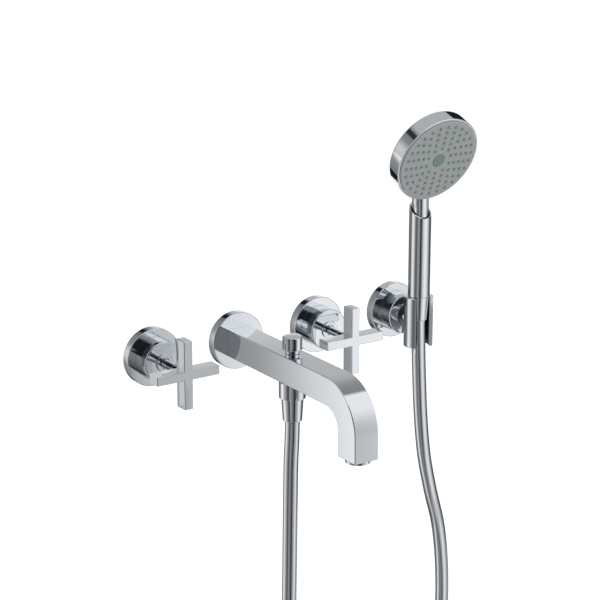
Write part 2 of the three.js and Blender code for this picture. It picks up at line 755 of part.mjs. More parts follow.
function diverterRod() {
  const headTop = discBottom - GAP;
  return turnedUpright(
    [
      [0, headTop - ROD_HEAD_LENGTH],
      [ROD_HEAD_RADIUS, headTop - ROD_HEAD_LENGTH],
      [ROD_HEAD_RADIUS, headTop],
      [ROD_SPIGOT_RADIUS, headTop],
      [ROD_SPIGOT_RADIUS, discTop + GAP],
      [ROD_RADIUS, discTop + GAP],
      [ROD_RADIUS, rodTop],
      [0, rodTop],
    ],
    SIDES_SMALL,
  );
}

function diverterDisc() {
  const outline = [
    [ROD_SPIGOT_RADIUS + GAP, discBottom],
    [DIVERTER_DISC_RADIUS, discBottom],
    [DIVERTER_DISC_RADIUS, discTop],
    [ROD_SPIGOT_RADIUS + GAP, discTop],
  ];
  return turnedUpright(outline, SIDES_MEDIUM);
}

function diverterKnob() {
  const top = knobBottom + KNOB_HEIGHT;
  const socketTop = knobBottom + KNOB_SOCKET_DEPTH;
  return turnedUpright(
    [
      [0, top],
      [KNOB_RADIUS - KNOB_EDGE, top],
      [KNOB_RADIUS, top - KNOB_EDGE],
      [KNOB_RADIUS, knobBottom + KNOB_EDGE / 2],
      [KNOB_RADIUS - KNOB_EDGE / 2, knobBottom],
      [ROD_RADIUS + GAP, knobBottom],
      [ROD_RADIUS + GAP, socketTop],
      [0, socketTop],
    ],
    SIDES_MEDIUM,
  );
}

// Shower outlet

const outletTop = -spoutHalf - GAP;
const outletBottom = outletTop - OUTLET_HEIGHT;
const outletThreadEnd = outletBottom - OUTLET_THREAD_LENGTH;
const checkTop = outletThreadEnd + CHECK_LENGTH;

function showerOutlet() {
  return turnedUpright(
    [
      [CHECK_RADIUS + GAP, outletThreadEnd],
      [OUTLET_THREAD_RADIUS, outletThreadEnd],
      [OUTLET_THREAD_RADIUS, outletBottom],
      [OUTLET_RADIUS - OUTLET_EDGE, outletBottom],
      [OUTLET_RADIUS, outletBottom + OUTLET_EDGE],
      [OUTLET_RADIUS, outletTop],
      [OUTLET_SPIGOT_RADIUS, outletTop],
      [OUTLET_SPIGOT_RADIUS, seatTop],
      [OUTLET_BORE, seatTop],
      [OUTLET_BORE, checkTop + GAP],
      [CHECK_RADIUS + GAP, checkTop + GAP],
    ],
    SIDES_MEDIUM,
  );
}

function checkValve() {
  const outline = [
    [CHECK_BORE, outletThreadEnd + GAP],
    [CHECK_RADIUS, outletThreadEnd + GAP],
    [CHECK_RADIUS, checkTop],
    [CHECK_BORE, checkTop],
  ];
  return turnedUpright(outline, SIDES_SMALL);
}

// Hose ends. Each nut traps a flanged tail and a washer against a male thread.

function washer(top, radius) {
  const outline = [
    [WASHER_BORE, top - WASHER_DEPTH],
    [radius, top - WASHER_DEPTH],
    [radius, top],
    [WASHER_BORE, top],
  ];
  return turnedUpright(outline, SIDES_SMALL);
}

function hoseTail(top, bottom, flangeRadius) {
  return turnedUpright(
    [
      [TAIL_BORE, bottom],
      [TAIL_RADIUS, bottom],
      [TAIL_RADIUS, top - TAIL_FLANGE],
      [flangeRadius, top - TAIL_FLANGE],
      [flangeRadius, top],
      [TAIL_BORE, top],
    ],
    SIDES_SMALL,
  );
}

function nut(top, height, topRadius, bottomRadius, bore, shoulder) {
  const bottom = top - height;
  return turnedUpright(
    [
      [TAIL_RADIUS + GAP, bottom],
      [bottomRadius - NUT_EDGE, bottom],
      [bottomRadius, bottom + NUT_EDGE],
      [topRadius, top],
      [bore, top],
      [bore, shoulder],
      [TAIL_RADIUS + GAP, shoulder],
    ],
    SIDES_MEDIUM,
  );
}

const nutTop = outletBottom - GAP;
const nutWasherTop = outletThreadEnd - GAP;
const nutTailTop = nutWasherTop - WASHER_DEPTH - GAP;
const nutShoulder = nutTailTop - TAIL_FLANGE - GAP;

const gripBottom = CUP_TOP + GAP;
const coneTop = gripBottom - GAP;
const showerThreadEnd = gripBottom - SHOWER_THREAD_LENGTH;
const coneWasherTop = showerThreadEnd - GAP;
const coneTailTop = coneWasherTop - WASHER_DEPTH - GAP;
const coneShoulder = coneTailTop - TAIL_FLANGE - GAP;

function hose() {
  const route = new THREE.CatmullRomCurve3(
    HOSE_ROUTE.map(([x, y, z]) => new THREE.Vector3(x, y, z)),
    false,
    "centripetal",
  );
  const corners = [];
  for (let i = 0; i < HOSE_SIDES; i += 1) {
    const angle = (i * 2 * Math.PI) / HOSE_SIDES;
    corners.push(new THREE.Vector2(HOSE_RADIUS * Math.cos(angle), HOSE_RADIUS * Math.sin(angle)));
  }
  const options = { steps: HOSE_STEPS, extrudePath: route };
  return new THREE.ExtrudeGeometry(new THREE.Shape(corners), options);
}

// Shower holder

function holderArm() {
  const collarFront = shoulderFront;
  const collarBack = collarFront + ARM_COLLAR_LENGTH;
  const neckEnd = -CUP_REACH + (CUP_BORE + CUP_RADIUS) / 2;
  const arm = turned(
    [
      [0, neckEnd],
      [ARM_RADIUS, neckEnd],
      [ARM_RADIUS, collarFront],
      [ARM_COLLAR_RADIUS, collarFront],
      [ARM_COLLAR_RADIUS, collarBack],
      [0, collarBack],
    ],
    SIDES_MEDIUM,
  );
  const cup = turnedUpright(
    [
      [0, CUP_BOTTOM],
      [CUP_RADIUS - CUP_EDGE, CUP_BOTTOM],
      [CUP_RADIUS, CUP_BOTTOM + CUP_EDGE],
      [CUP_RADIUS, CUP_TOP - CUP_EDGE],
      [CUP_RADIUS - CUP_EDGE, CUP_TOP],
      [0, CUP_TOP],
    ],
    SIDES_LARGE,
  ).translate(0, -CUP_REACH, 0);
  const bore = uprightRod(CUP_BORE, CUP_BOTTOM - PAST, CUP_TOP + PAST, -CUP_REACH, SIDES_LARGE);
  const spread = 2 * CUP_RADIUS;
  const half = spread * Math.tan(radians(CUP_SLOT_HALF_ANGLE));
  const wedge = new THREE.Shape();
  wedge.moveTo(0, 0);
  wedge.lineTo(-half, -spread);
  wedge.lineTo(half, -spread);
  wedge.closePath();
  const height = CUP_TOP - CUP_BOTTOM + 2 * PAST;
  const slot = new THREE.ExtrudeGeometry(wedge, { depth: height, bevelEnabled: false });
  slot.translate(0, -CUP_REACH, CUP_BOTTOM - PAST);
  const socket = rod(STUD_RADIUS + GAP, -ARM_SOCKET_END, collarBack + PAST, SIDES_SMALL);
  const screwHole = radialRod(GRUB_RADIUS + GAP, 0, 2 * ARM_RADIUS, holderScrewAt);
  const joined = solid(arm).add(solid(cup));
  const opened = joined.subtract(solid(bore)).subtract(solid(slot));
  return geometryOf(opened.subtract(solid(socket)).subtract(solid(screwHole)));
}

const holderScrewAt = -(SLEEVE_REACH + GRUB_RADIUS + 2 * GAP);

function holderGrub() {
  const inner = STUD_RADIUS + GAP;
  return radialRod(GRUB_RADIUS, inner, ARM_RADIUS - SCREW_SINK, holderScrewAt);
}

function holderStud() {
  return turned(
    [
      [0, -ARM_SOCKET_END + GAP],
      [STUD_RADIUS, -ARM_SOCKET_END + GAP],
      [STUD_RADIUS, -STUD_PLATE_THICKNESS],
      [STUD_PLATE_RADIUS, -STUD_PLATE_THICKNESS],
      [STUD_PLATE_RADIUS, 0],
      [STUD_THREAD_RADIUS, 0],
      [STUD_THREAD_RADIUS, STUD_THREAD_LENGTH],
      [0, STUD_THREAD_LENGTH],
    ],
    SIDES_MEDIUM,
  );
}

// Hand shower

const gripCutHigh = GRIP_CUT_AT + GRIP_RADIUS * Math.tan(radians(GRIP_CUT_SLOPE));
const socketBottom = GRIP_CUT_AT - GRIP_SOCKET_LENGTH;

// Everything in front of the slanted top of the grip, as a block to cut away.
function gripCut() {
  const size = 8 * GRIP_RADIUS;
  return box(size, size, size, 0, 0, size / 2)
    .rotateX(radians(GRIP_CUT_SLOPE))
    .translate(0, 0, GRIP_CUT_AT);
}

function grip() {
  const body = turnedUpright(
    [
      [INLET_BORE, showerThreadEnd],
      [SHOWER_THREAD_RADIUS, showerThreadEnd],
      [SHOWER_THREAD_RADIUS, gripBottom],
      [GRIP_RADIUS, gripBottom],
      [GRIP_RADIUS, gripCutHigh + PAST],
      [NECK_RADIUS + GAP, gripCutHigh + PAST],
      [NECK_RADIUS + GAP, socketBottom],
      [GRIP_BORE, socketBottom],
      [GRIP_BORE, gripBottom + GRIP_FLOOR],
      [INLET_BORE, gripBottom + GRIP_FLOOR],
    ],
    SIDES_MEDIUM,
  );
  return cut(body, gripCut());
}

// The head is built facing -Y, with the middle of its rim's front at the origin, and then leaned.
const plateFront = -PLATE_PROUD;
const plateBack = plateFront + PLATE_THICKNESS;
const matFront = plateBack + GAP;
const matBack = matFront + MAT_THICKNESS;
const ledge = matBack + GAP;
const cavityRadius = HEAD_RADIUS - HEAD_SIDE;
const plateRadius = cavityRadius - GAP;
const hubBack = plateBack + PLATE_HUB_LENGTH;
const capSeat = plateFront + CAP_SINK;
const screwSeat = capSeat + GAP + HEAD_SCREW_HEAD + GAP;
const headCrown = HEAD_DEPTH + HEAD_CROWN;

function headPlaced(geometry) {
  const lean = radians(HEAD_LEAN);
  return geometry.rotateX(lean).translate(0, -HEAD_AHEAD, HEAD_RISE);
}

function headShell() {
  const chamber = cavityRadius - LEDGE_WIDTH;
  const back = HEAD_DEPTH - HEAD_BACK;
  const drum = turned(
    [
      [cavityRadius, 0],
      [HEAD_RADIUS, 0],
      [HEAD_RADIUS, HEAD_DEPTH - HEAD_EDGE],
      [HEAD_RADIUS - HEAD_EDGE, HEAD_DEPTH],
      [HEAD_RADIUS / 2, HEAD_DEPTH + HEAD_CROWN / 2],
      [0, headCrown],
      [0, hubBack + GAP],
      [HEAD_BOSS_RADIUS, hubBack + GAP],
      [HEAD_BOSS_RADIUS, back],
      [chamber, back],
      [chamber, ledge],
      [cavityRadius, ledge],
    ],
    SIDES_LARGE,
  );
  const screwHoleEnd = hubBack + GAP + HEAD_SCREW_HOLD + GAP;
  const screwHole = rod(HEAD_SCREW_RADIUS + GAP, 0, screwHoleEnd, SIDES_TINY);
  const neckBottom = GRIP_CUT_AT - NECK_IN_GRIP;
  const neck = uprightRod(NECK_RADIUS, neckBottom, HEAD_RISE, 0, SIDES_MEDIUM);
  const bore = uprightRod(NECK_BORE, neckBottom - PAST, HEAD_RISE, 0, SIDES_MEDIUM);
  const inside = rod(HEAD_RADIUS - HEAD_SIDE / 2, -HEAD_RADIUS, back, SIDES_LARGE);
  const neckOnly = solid(neck).subtract(solid(headPlaced(inside))).subtract(solid(behindHead(HEAD_DEPTH)));
  const front = rod(cavityRadius, -HEAD_RADIUS, ledge, SIDES_LARGE);
  const boreOnly = solid(bore).subtract(solid(headPlaced(front))).subtract(solid(behindHead(back)));
  const shell = solid(headPlaced(drum)).subtract(solid(headPlaced(screwHole)));
  return geometryOf(shell.add(neckOnly).subtract(boreOnly));
}

// Everything behind a plane parallel to the head's back, as a block to cut away.
function behindHead(depth) {
  const size = 4 * HEAD_RADIUS;
  return headPlaced(box(size, size, size, 0, depth + size / 2, 0));
}

// Calls make(x, z) for each nozzle, ring by ring.
function atNozzles(make) {
  const made = [];
  for (let ring = 0; ring < NOZZLE_RINGS; ring += 1) {
    const radius = NOZZLE_FIRST_RING + ring * NOZZLE_RING_STEP;
    const count = NOZZLE_FIRST_COUNT + ring * NOZZLE_COUNT_STEP;
    for (let i = 0; i < count; i += 1) {
      const angle = (i * 2 * Math.PI) / count;
      made.push(make(radius * Math.sin(angle), radius * Math.cos(angle)));
    }
  }
  return made;
}

function nozzleRods(radius, front, back) {
  return atNozzles((x, z) => solid(rod(radius, front, back, NOZZLE_SIDES).translate(x, 0, z)));
}

function sprayPlate() {
  const counterbore = HEAD_SCREW_HEAD_RADIUS + GAP;
  const body = turned(
    [
      [HEAD_SCREW_RADIUS + GAP, screwSeat],
      [counterbore, screwSeat],
      [counterbore, capSeat],
      [CAP_RADIUS + GAP, capSeat],
      [CAP_RADIUS + GAP, plateFront],
      [plateRadius - PLATE_EDGE, plateFront],
      [plateRadius, plateFront + PLATE_EDGE],
      [plateRadius, plateBack],
      [PLATE_HUB_RADIUS, plateBack],
      [PLATE_HUB_RADIUS, hubBack],
      [HEAD_SCREW_RADIUS + GAP, hubBack],
    ],
    SIDES_LARGE,
  );
  const holes = nozzleRods(NOZZLE_RADIUS + GAP, plateFront - PAST, plateBack + PAST);
  return headPlaced(geometryOf(solid(body).subtract(wasm.Manifold.union(holes))));
}

function nozzleMat() {
  const inner = PLATE_HUB_RADIUS + GAP;
  const sheet = tube(plateRadius, inner, matFront, matBack, SIDES_LARGE);
  const nozzles = nozzleRods(NOZZLE_RADIUS, plateFront - NOZZLE_PROUD, matBack - GAP);
  return headPlaced(geometryOf(solid(sheet).add(wasm.Manifold.union(nozzles))));
}

function headScrew() {
  const headFront = capSeat + GAP;
  const headBack = headFront + HEAD_SCREW_HEAD;
  return headPlaced(
    turned(
      [
        [0, headFront],
        [HEAD_SCREW_HEAD_RADIUS, headFront],
        [HEAD_SCREW_HEAD_RADIUS, headBack],
        [HEAD_SCREW_RADIUS, headBack],
        [HEAD_SCREW_RADIUS, hubBack + GAP + HEAD_SCREW_HOLD],
        [0, hubBack + GAP + HEAD_SCREW_HOLD],
      ],
      SIDES_TINY,
    ),
  );
}

function centreCap() {
  return headPlaced(rod(CAP_RADIUS, capSeat - GAP - CAP_THICKNESS, capSeat - GAP, SIDES_SMALL));
}

const faucet = new THREE.Group();
faucet.add(
  valve("hot", -HOLE_PITCH),
  valve("cold", HOLE_PITCH),
  piece("spout_wall_flange", squareFlange(), chrome),
  piece("spout_wall_seal", wallSeal(), foam),
  piece("spout_body", spoutBody(), chrome),
  piece("spout_nipple", spoutNipple(), brass),
  piece("spout_nipple_oring", nippleRing(), rubber),
  piece("spout_screw", spoutScrew(), steel),
  piece("diverter_partition", diverterPartition(), brass),
  group(
    0, -DIVERTER_REACH, 0,
    piece("diverter_bush", diverterBush(), chrome),
    piece("diverter_rod", diverterRod(), brass),
    piece("diverter_disc", diverterDisc(), rubber),
    piece("diverter_knob", diverterKnob(), chrome),
    piece("shower_outlet", showerOutlet(), chrome),
    piece("check_valve", checkValve(), whitePlastic),
    piece("outlet_washer", washer(nutWasherTop, OUTLET_THREAD_RADIUS), rubber),
    piece("hose_nut", nut(
      nutTop, NUT_HEIGHT, NUT_TOP_RADIUS, NUT_BOTTOM_RADIUS, OUTLET_THREAD_RADIUS + GAP, nutShoulder,
    ), chrome),
    piece("hose_nut_tail", hoseTail(nutTailTop, nutTop - NUT_HEIGHT, OUTLET_THREAD_RADIUS), brass),
  ),
  group(
    0, -SPOUT_REACH, 0,
    piece("aerator_seal", aeratorSeal(), rubber),
    piece("aerator_housing", aeratorHousing(), chrome),
    piece("aerator_insert", aeratorInsert(), whitePlastic),
  ),
  piece("shower_hose", hose(), chrome),
  group(
    2 * HOLE_PITCH, 0, 0,
    piece("holder_wall_flange", roundFlange(SLEEVE_RADIUS + GAP), chrome),
    piece("holder_wall_seal", wallSeal(), foam),
    piece("holder_sleeve", sleeve(ARM_RADIUS + GAP), chrome),
    piece("holder_stud", holderStud(), brass),
    piece("holder_arm", holderArm(), chrome),
    piece("holder_grub_screw", holderGrub(), steel),
  ),
  group(
    2 * HOLE_PITCH, -CUP_REACH, 0,
    piece("hose_cone", nut(
      coneTop, CONE_HEIGHT, CONE_TOP_RADIUS, CONE_BOTTOM_RADIUS, SHOWER_THREAD_RADIUS + GAP, coneShoulder,
    ), chrome),
    piece("hose_cone_tail", hoseTail(coneTailTop, coneTop - CONE_HEIGHT, SHOWER_THREAD_RADIUS), brass),
    piece("cone_washer", washer(coneWasherTop, SHOWER_THREAD_RADIUS), rubber),
    piece("shower_grip", grip(), chrome),
    piece("shower_head_shell", headShell(), chrome),
    piece("spray_plate", sprayPlate(), greyPlastic),
    piece("nozzle_mat", nozzleMat(), greyRubber),
    piece("head_screw", headScrew(), steel),
    piece("head_cap", centreCap(), greyPlastic),
  ),
);

export default faucet;
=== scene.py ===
import math

import bmesh
import bpy
from mathutils import Matrix, Vector


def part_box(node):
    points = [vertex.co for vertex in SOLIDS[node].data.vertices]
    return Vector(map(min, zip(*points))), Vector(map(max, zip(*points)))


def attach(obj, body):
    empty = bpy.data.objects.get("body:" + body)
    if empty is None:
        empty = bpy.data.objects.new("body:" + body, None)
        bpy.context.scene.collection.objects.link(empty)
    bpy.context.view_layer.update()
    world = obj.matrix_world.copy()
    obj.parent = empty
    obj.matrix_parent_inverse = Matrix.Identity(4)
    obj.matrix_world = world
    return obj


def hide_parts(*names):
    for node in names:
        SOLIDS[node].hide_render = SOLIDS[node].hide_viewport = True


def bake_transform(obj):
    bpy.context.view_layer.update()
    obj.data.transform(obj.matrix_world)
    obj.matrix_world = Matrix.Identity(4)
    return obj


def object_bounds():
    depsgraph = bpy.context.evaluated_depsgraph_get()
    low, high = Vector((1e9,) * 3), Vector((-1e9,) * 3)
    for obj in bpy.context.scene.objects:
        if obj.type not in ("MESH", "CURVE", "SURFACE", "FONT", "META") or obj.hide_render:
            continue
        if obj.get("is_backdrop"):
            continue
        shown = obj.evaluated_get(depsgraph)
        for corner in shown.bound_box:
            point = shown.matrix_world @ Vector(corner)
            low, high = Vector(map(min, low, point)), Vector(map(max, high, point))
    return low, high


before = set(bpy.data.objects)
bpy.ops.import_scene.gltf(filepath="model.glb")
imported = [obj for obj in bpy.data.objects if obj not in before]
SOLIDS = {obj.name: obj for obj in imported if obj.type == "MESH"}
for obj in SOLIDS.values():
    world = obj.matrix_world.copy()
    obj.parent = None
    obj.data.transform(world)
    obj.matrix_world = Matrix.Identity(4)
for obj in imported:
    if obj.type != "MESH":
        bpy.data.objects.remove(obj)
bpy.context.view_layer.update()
MM = 0.001

# Camera
# It stands a little above the faucet and to its left, level, with a long lens that keeps the four
# flanges on the wall close to parallel.
CAMERA_PLACE = (-0.97982, -1.59894, 0.59941)
CAMERA_BACK = (-0.53020, -0.79838, 0.28545)
camera_data = bpy.data.cameras.new("camera")
camera_data.lens = 114.67
camera_data.sensor_width = 36
camera = bpy.data.objects.new("camera", camera_data)
camera.location = CAMERA_PLACE
camera.rotation_mode = "QUATERNION"
camera.rotation_quaternion = Vector(CAMERA_BACK).to_track_quat("Z", "Y")
bpy.context.scene.collection.objects.link(camera)
bpy.context.scene.camera = camera
bpy.context.scene.view_settings.view_transform = "Standard"


# Shower hose
# A 15 mm hose with a smooth metal-look sleeve over a reinforced core. It leaves the outlet under
# the spout, hangs in one free loop and comes back up into the hand shower's cone.
HOSE_ROUTE = (
    (0, -0.110, -0.0559), (-0.0006, -0.1101, -0.075), (-0.0022, -0.1106, -0.100),
    (-0.0032, -0.1109, -0.140), (-0.0043, -0.1112, -0.200), (-0.0057, -0.1117, -0.270),
    (-0.0068, -0.1120, -0.340), (-0.0054, -0.1116, -0.405), (0.0012, -0.1097, -0.463),
    (0.0180, -0.1048, -0.519), (0.0490, -0.0958, -0.562), (0.0905, -0.0837, -0.583),
    (0.1340, -0.0711, -0.582), (0.1745, -0.0593, -0.562), (0.2080, -0.0496, -0.524),
    (0.2312, -0.0429, -0.474), (0.2444, -0.0390, -0.417), (0.2498, -0.0374, -0.358),
    (0.2482, -0.0379, -0.301), (0.2400, -0.0403, -0.250), (0.2246, -0.0448, -0.203),
    (0.2122, -0.0484, -0.158), (0.2050, -0.0505, -0.110), (0.2013, -0.0515, -0.065),
    (0.1991, -0.0522, -0.030), (0.1980, -0.0525, 0.0002),
)
HOSE_RADIUS = 7.45 * MM
HOSE_SIDES = 32
HOSE_STEPS_PER_SPAN = 12
RIB_PITCH = 1.6 * MM
RIB_HEIGHT = 0.002 * MM
MIX_FACTOR, MIX_FIRST, MIX_SECOND, MIX_RESULT = 0, 6, 7, 2  # a Mix node's sockets for colours


class Wire:
    """The output of a shader node, with the arithmetic that adds Math nodes."""

    def __init__(self, nodes, socket):
        self.nodes = nodes
        self.socket = socket

    def _maths(self, operation, *values):
        return self.nodes.node("ShaderNodeMath", dict(enumerate(values)), operation=operation)

    def __add__(self, other):
        return self._maths("ADD", self, other)

    __radd__ = __add__

    def __mul__(self, other):
        return self._maths("MULTIPLY", self, other)

    __rmul__ = __mul__

    def __sub__(self, other):
        return self._maths("SUBTRACT", self, other)

    def __rsub__(self, other):
        return self._maths("SUBTRACT", other, self)

    def __truediv__(self, other):
        return self._maths("DIVIDE", self, other)

    def wave(self):
        return self._maths("SINE", self)

    def at_most(self, limit):
        return self._maths("MINIMUM", self, limit)

    def bearing(self, ahead):
        """The angle in radians whose tangent is this number over the number ahead."""
        return self._maths("ARCTAN2", self, ahead)

    def rise(self, low, high):
        """0 below low and 1 above high, with a smooth step between them."""
        inputs = {"Value": self, "From Min": low, "From Max": high}
        return self.nodes.node("ShaderNodeMapRange", inputs, interpolation_type="SMOOTHSTEP")


class Nodes:
    """The node tree of a material or of the world."""

    def __init__(self, tree):
        self.tree = tree

    def node(self, kind, inputs=None, output=0, stops=None, **settings):
        """Adds a node: its settings first, then the values or links of its sockets."""
        made = self.tree.nodes.new(kind)
        for setting, value in settings.items():
            setattr(made, setting, value)
        if stops:
            ramp = made.color_ramp.elements
            while len(ramp) < len(stops):
                ramp.new(0.5)
            for element, (position, level) in zip(ramp, stops):
                element.position = position
                element.color = (level, level, level, 1)
        self.connect(made, inputs or {})
        return Wire(self, made.outputs[output])

    def connect(self, node, inputs):
        """Gives the sockets of a node their values or their links."""
        for socket, value in inputs.items():
            if isinstance(value, Wire):
                self.tree.links.new(value.socket, node.inputs[socket])
            else:
                node.inputs[socket].default_value = value


class Finish(Nodes):
    """A procedural material: one Principled surface, fed by patterns on the piece's coordinates."""

    def __init__(self, name, color, roughness, metallic=0.0):
        self.material = bpy.data.materials.new(name)
        self.material.use_nodes = True
        super().__init__(self.material.node_tree)
        self.surface = self.tree.nodes["Principled BSDF"]
        self.feed({"Base Color": (*color, 1), "Roughness": roughness, "Metallic": metallic})
        self.place = self.node("ShaderNodeTexCoord", output="Object")

    def feed(self, inputs):
        self.connect(self.surface, inputs)

    def show(self, shader):
        """Puts another shader in the place of the Principled surface."""
        self.connect(self.tree.nodes["Material Output"], {"Surface": shader})

    def along(self, axis, vector=None):
        """The piece's coordinate along one axis, or the same part of another vector."""
        return self.node("ShaderNodeSeparateXYZ", {"Vector": vector or self.place}, output=axis)

    def noise(self, scale, detail=2.0, vector=None):
        inputs = {"Vector": vector or self.place, "Scale": scale, "Detail": detail}
        return self.node("ShaderNodeTexNoise", inputs, output="Fac")

    def stretched(self, scale):
        """The piece's coordinates, scaled apart along x, y and z."""
        inputs = {"Vector": self.place, "Scale": scale}
        return self.node("ShaderNodeMapping", inputs, output="Vector")

    def tint(self, amount, first, second):
        """Mixes two colours by an amount from 0 to 1."""
        colors = [value if isinstance(value, Wire) else (*value, 1) for value in (first, second)]
        inputs = {MIX_FACTOR: amount, MIX_FIRST: colors[0], MIX_SECOND: colors[1]}
        return self.node("ShaderNodeMix", inputs, output=MIX_RESULT, data_type="RGBA")

    def mottle(self, scale, detail, colors, roughness=None):
        """Lets the colour, and the roughness if asked, wander between two values over a pattern."""
        pattern = self.noise(scale, detail)
        self.feed({"Base Color": self.tint(pattern, *colors)})
        if roughness:
            least, most = roughness
            self.feed({"Roughness": least + pattern * (most - least)})
        return pattern

    def bump(self, height, depth):
        """Raises the surface by height, from 0 to 1, times depth in metres."""
        inputs = {"Height": height, "Distance": depth, "Strength": 1.0}
        self.feed({"Normal": self.node("ShaderNodeBump", inputs)})

    def on(self, *pieces):
        for piece in pieces:
            piece.data.materials.clear()
            piece.data.materials.append(self.material)


def smooth_route(points, steps):
    """A smooth curve through the points, with the same number of steps in each span."""
    spots = [Vector(p) for p in points]
    spots = [2 * spots[0] - spots[1], *spots, 2 * spots[-1] - spots[-2]]
    route = []
    for a, b, c, d in zip(spots, spots[1:], spots[2:], spots[3:]):
        t1 = (b - a).length ** 0.5
        t2 = t1 + (c - b).length ** 0.5
        t3 = t2 + (d - c).length ** 0.5
        for i in range(steps):
            t = t1 + (t2 - t1) * i / steps
            ab = a.lerp(b, t / t1)
            bc = b.lerp(c, (t - t1) / (t2 - t1))
            cd = c.lerp(d, (t - t2) / (t3 - t2))
            before, after = ab.lerp(bc, t / t2), bc.lerp(cd, (t - t1) / (t3 - t1))
            route.append(before.lerp(after, (t - t1) / (t2 - t1)))
    return [*route, spots[-2]]


def swept_tube(name, route, radius, sides):
    """A closed round tube along the route, with its length and its turn kept in a UV map."""
    mesh = bmesh.new()
    uv = mesh.loops.layers.uv.new("along")
    side = Vector((1, 0, 0))
    rings = []
    travelled = 0.0
    for i, spot in enumerate(route):
        ahead = (route[min(i + 1, len(route) - 1)] - route[max(i - 1, 0)]).normalized()
        side = (side - ahead * side.dot(ahead)).normalized()
        other = ahead.cross(side)
        if i:
            travelled += (spot - route[i - 1]).length
        ring = []
        for k in range(sides):
            angle = 2 * math.pi * k / sides
            offset = (side * math.cos(angle) + other * math.sin(angle)) * radius
            ring.append(mesh.verts.new(spot + offset))
        rings.append((ring, travelled))
    for (ring, at), (after, further) in zip(rings, rings[1:]):
        for k in range(sides):
            j = (k + 1) % sides
            face = mesh.faces.new((ring[k], ring[j], after[j], after[k]))
            face.smooth = True
            left, right = k / sides, (k + 1) / sides
            turns = ((left, at), (right, at), (right, further), (left, further))
            for loop, turn in zip(face.loops, turns):
                loop[uv].uv = turn
    mesh.faces.new(list(reversed(rings[0][0])))
    mesh.faces.new(rings[-1][0])
    data = bpy.data.meshes.new(name)
    mesh.to_mesh(data)
    mesh.free()
    piece = bpy.data.objects.new(name, data)
    bpy.context.scene.collection.objects.link(piece)
    return piece


hose_line = smooth_route(HOSE_ROUTE, HOSE_STEPS_PER_SPAN)
hose = swept_tube("hose_sleeve", hose_line, HOSE_RADIUS, HOSE_SIDES)
hose_finish = Finish("hose sleeve", (0.785, 0.81, 0.845), 0.14, metallic=1.0)
hose_map = hose_finish.node("ShaderNodeUVMap", uv_map="along")
hose_turn, hose_run = hose_finish.along("X", hose_map), hose_finish.along("Y", hose_map)
hose_ribs = ((hose_turn + hose_run / RIB_PITCH) * (2 * math.pi)).wave() * 0.5 + 0.5
hose_finish.bump(hose_ribs, RIB_HEIGHT)
hose_finish.feed({"Roughness": 0.15 + hose_finish.noise(40) * 0.03})
hose_finish.on(hose)
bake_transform(hose)
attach(hose, "root")
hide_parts("shower_hose")


# Wall flanges
# Four pressed and plated cups, 60 mm across and 10 mm deep, that cover the holes in the wall. Each
# slides over the neck that passes through it; the spout's has a rectangular opening.
HOLES = {"hot": -99, "spout": 0, "cold": 99, "holder": 198}
HOT_PLACE = (HOLES["hot"], 0, 0)
UP = (0, 0, 1)
OUT_OF_WALL = (0, -1, 0)
FLANGE = ((21.6, 10, 0.1), (30, 10, 1.0), (30, 0, 0.2), (27, 0), (27, 7.5), (21.6, 7.5))
SQUARE_FLANGE = ((27, 7.5), (27, 0), (30, 0, 0.2), (30, 10, 1.0), (15, 10))
SPOUT_OPENING = (27.14, 40, 28.64)
ROUNDING_STEPS = 4
MERGE_WITHIN = 0.002 * MM
SMOOTH_ANGLE = math.radians(32)


def deselect():
    bpy.ops.object.select_all(action="DESELECT")


def make_active(piece):
    deselect()
    piece.select_set(True)
    bpy.context.view_layer.objects.active = piece


def keep_in_mesh():
    """Moves the active piece's place, turn and scale into its mesh."""
    bpy.ops.object.transform_apply(location=True, rotation=True, scale=True)


def named(name):
    """The object that an operator has just added, with its name."""
    piece = bpy.context.active_object
    piece.name = piece.data.name = name
    return piece


def pick_all(kind, action="SELECT"):
    """Selects or deselects every part, in edit mode, and leaves it picking parts of one kind."""
    bpy.ops.mesh.select_mode(type=kind)
    bpy.ops.mesh.select_all(action=action)


def rounded(profile, hollow):
    """The profile with every corner that has a third number, its radius, turned into an arc."""
    corners = [(Vector(corner[:2]), corner[2] if len(corner) > 2 else 0) for corner in profile]
    points = []
    for i, (corner, radius) in enumerate(corners):
        at_end = i in (0, len(corners) - 1) and not hollow
        if not radius or at_end:
            points.append(tuple(corner))
            continue
        before = (corners[i - 1][0] - corner).normalized()
        after = (corners[(i + 1) % len(corners)][0] - corner).normalized()
        half = before.angle(after) / 2
        centre = corner + (before + after).normalized() * radius / math.sin(half)
        start = corner + before * radius / math.tan(half) - centre
        end = corner + after * radius / math.tan(half) - centre
        full = start.angle(end)
        for step in range(ROUNDING_STEPS + 1):
            share = step / ROUNDING_STEPS
            spoke = start * math.sin((1 - share) * full) + end * math.sin(share * full)
            points.append(tuple(centre + spoke / math.sin(full)))
    return points


def settle(piece, place=(0, 0, 0), axis=UP):
    """Stands the piece with its Z along the axis at a place in millimetres, all in its mesh."""
    make_active(piece)
    keep_in_mesh()
    turn = Vector(axis).to_track_quat("Z", "Y").to_matrix().to_4x4()
    piece.matrix_world = Matrix.Translation(Vector(place) * MM) @ turn
    keep_in_mesh()
    return piece


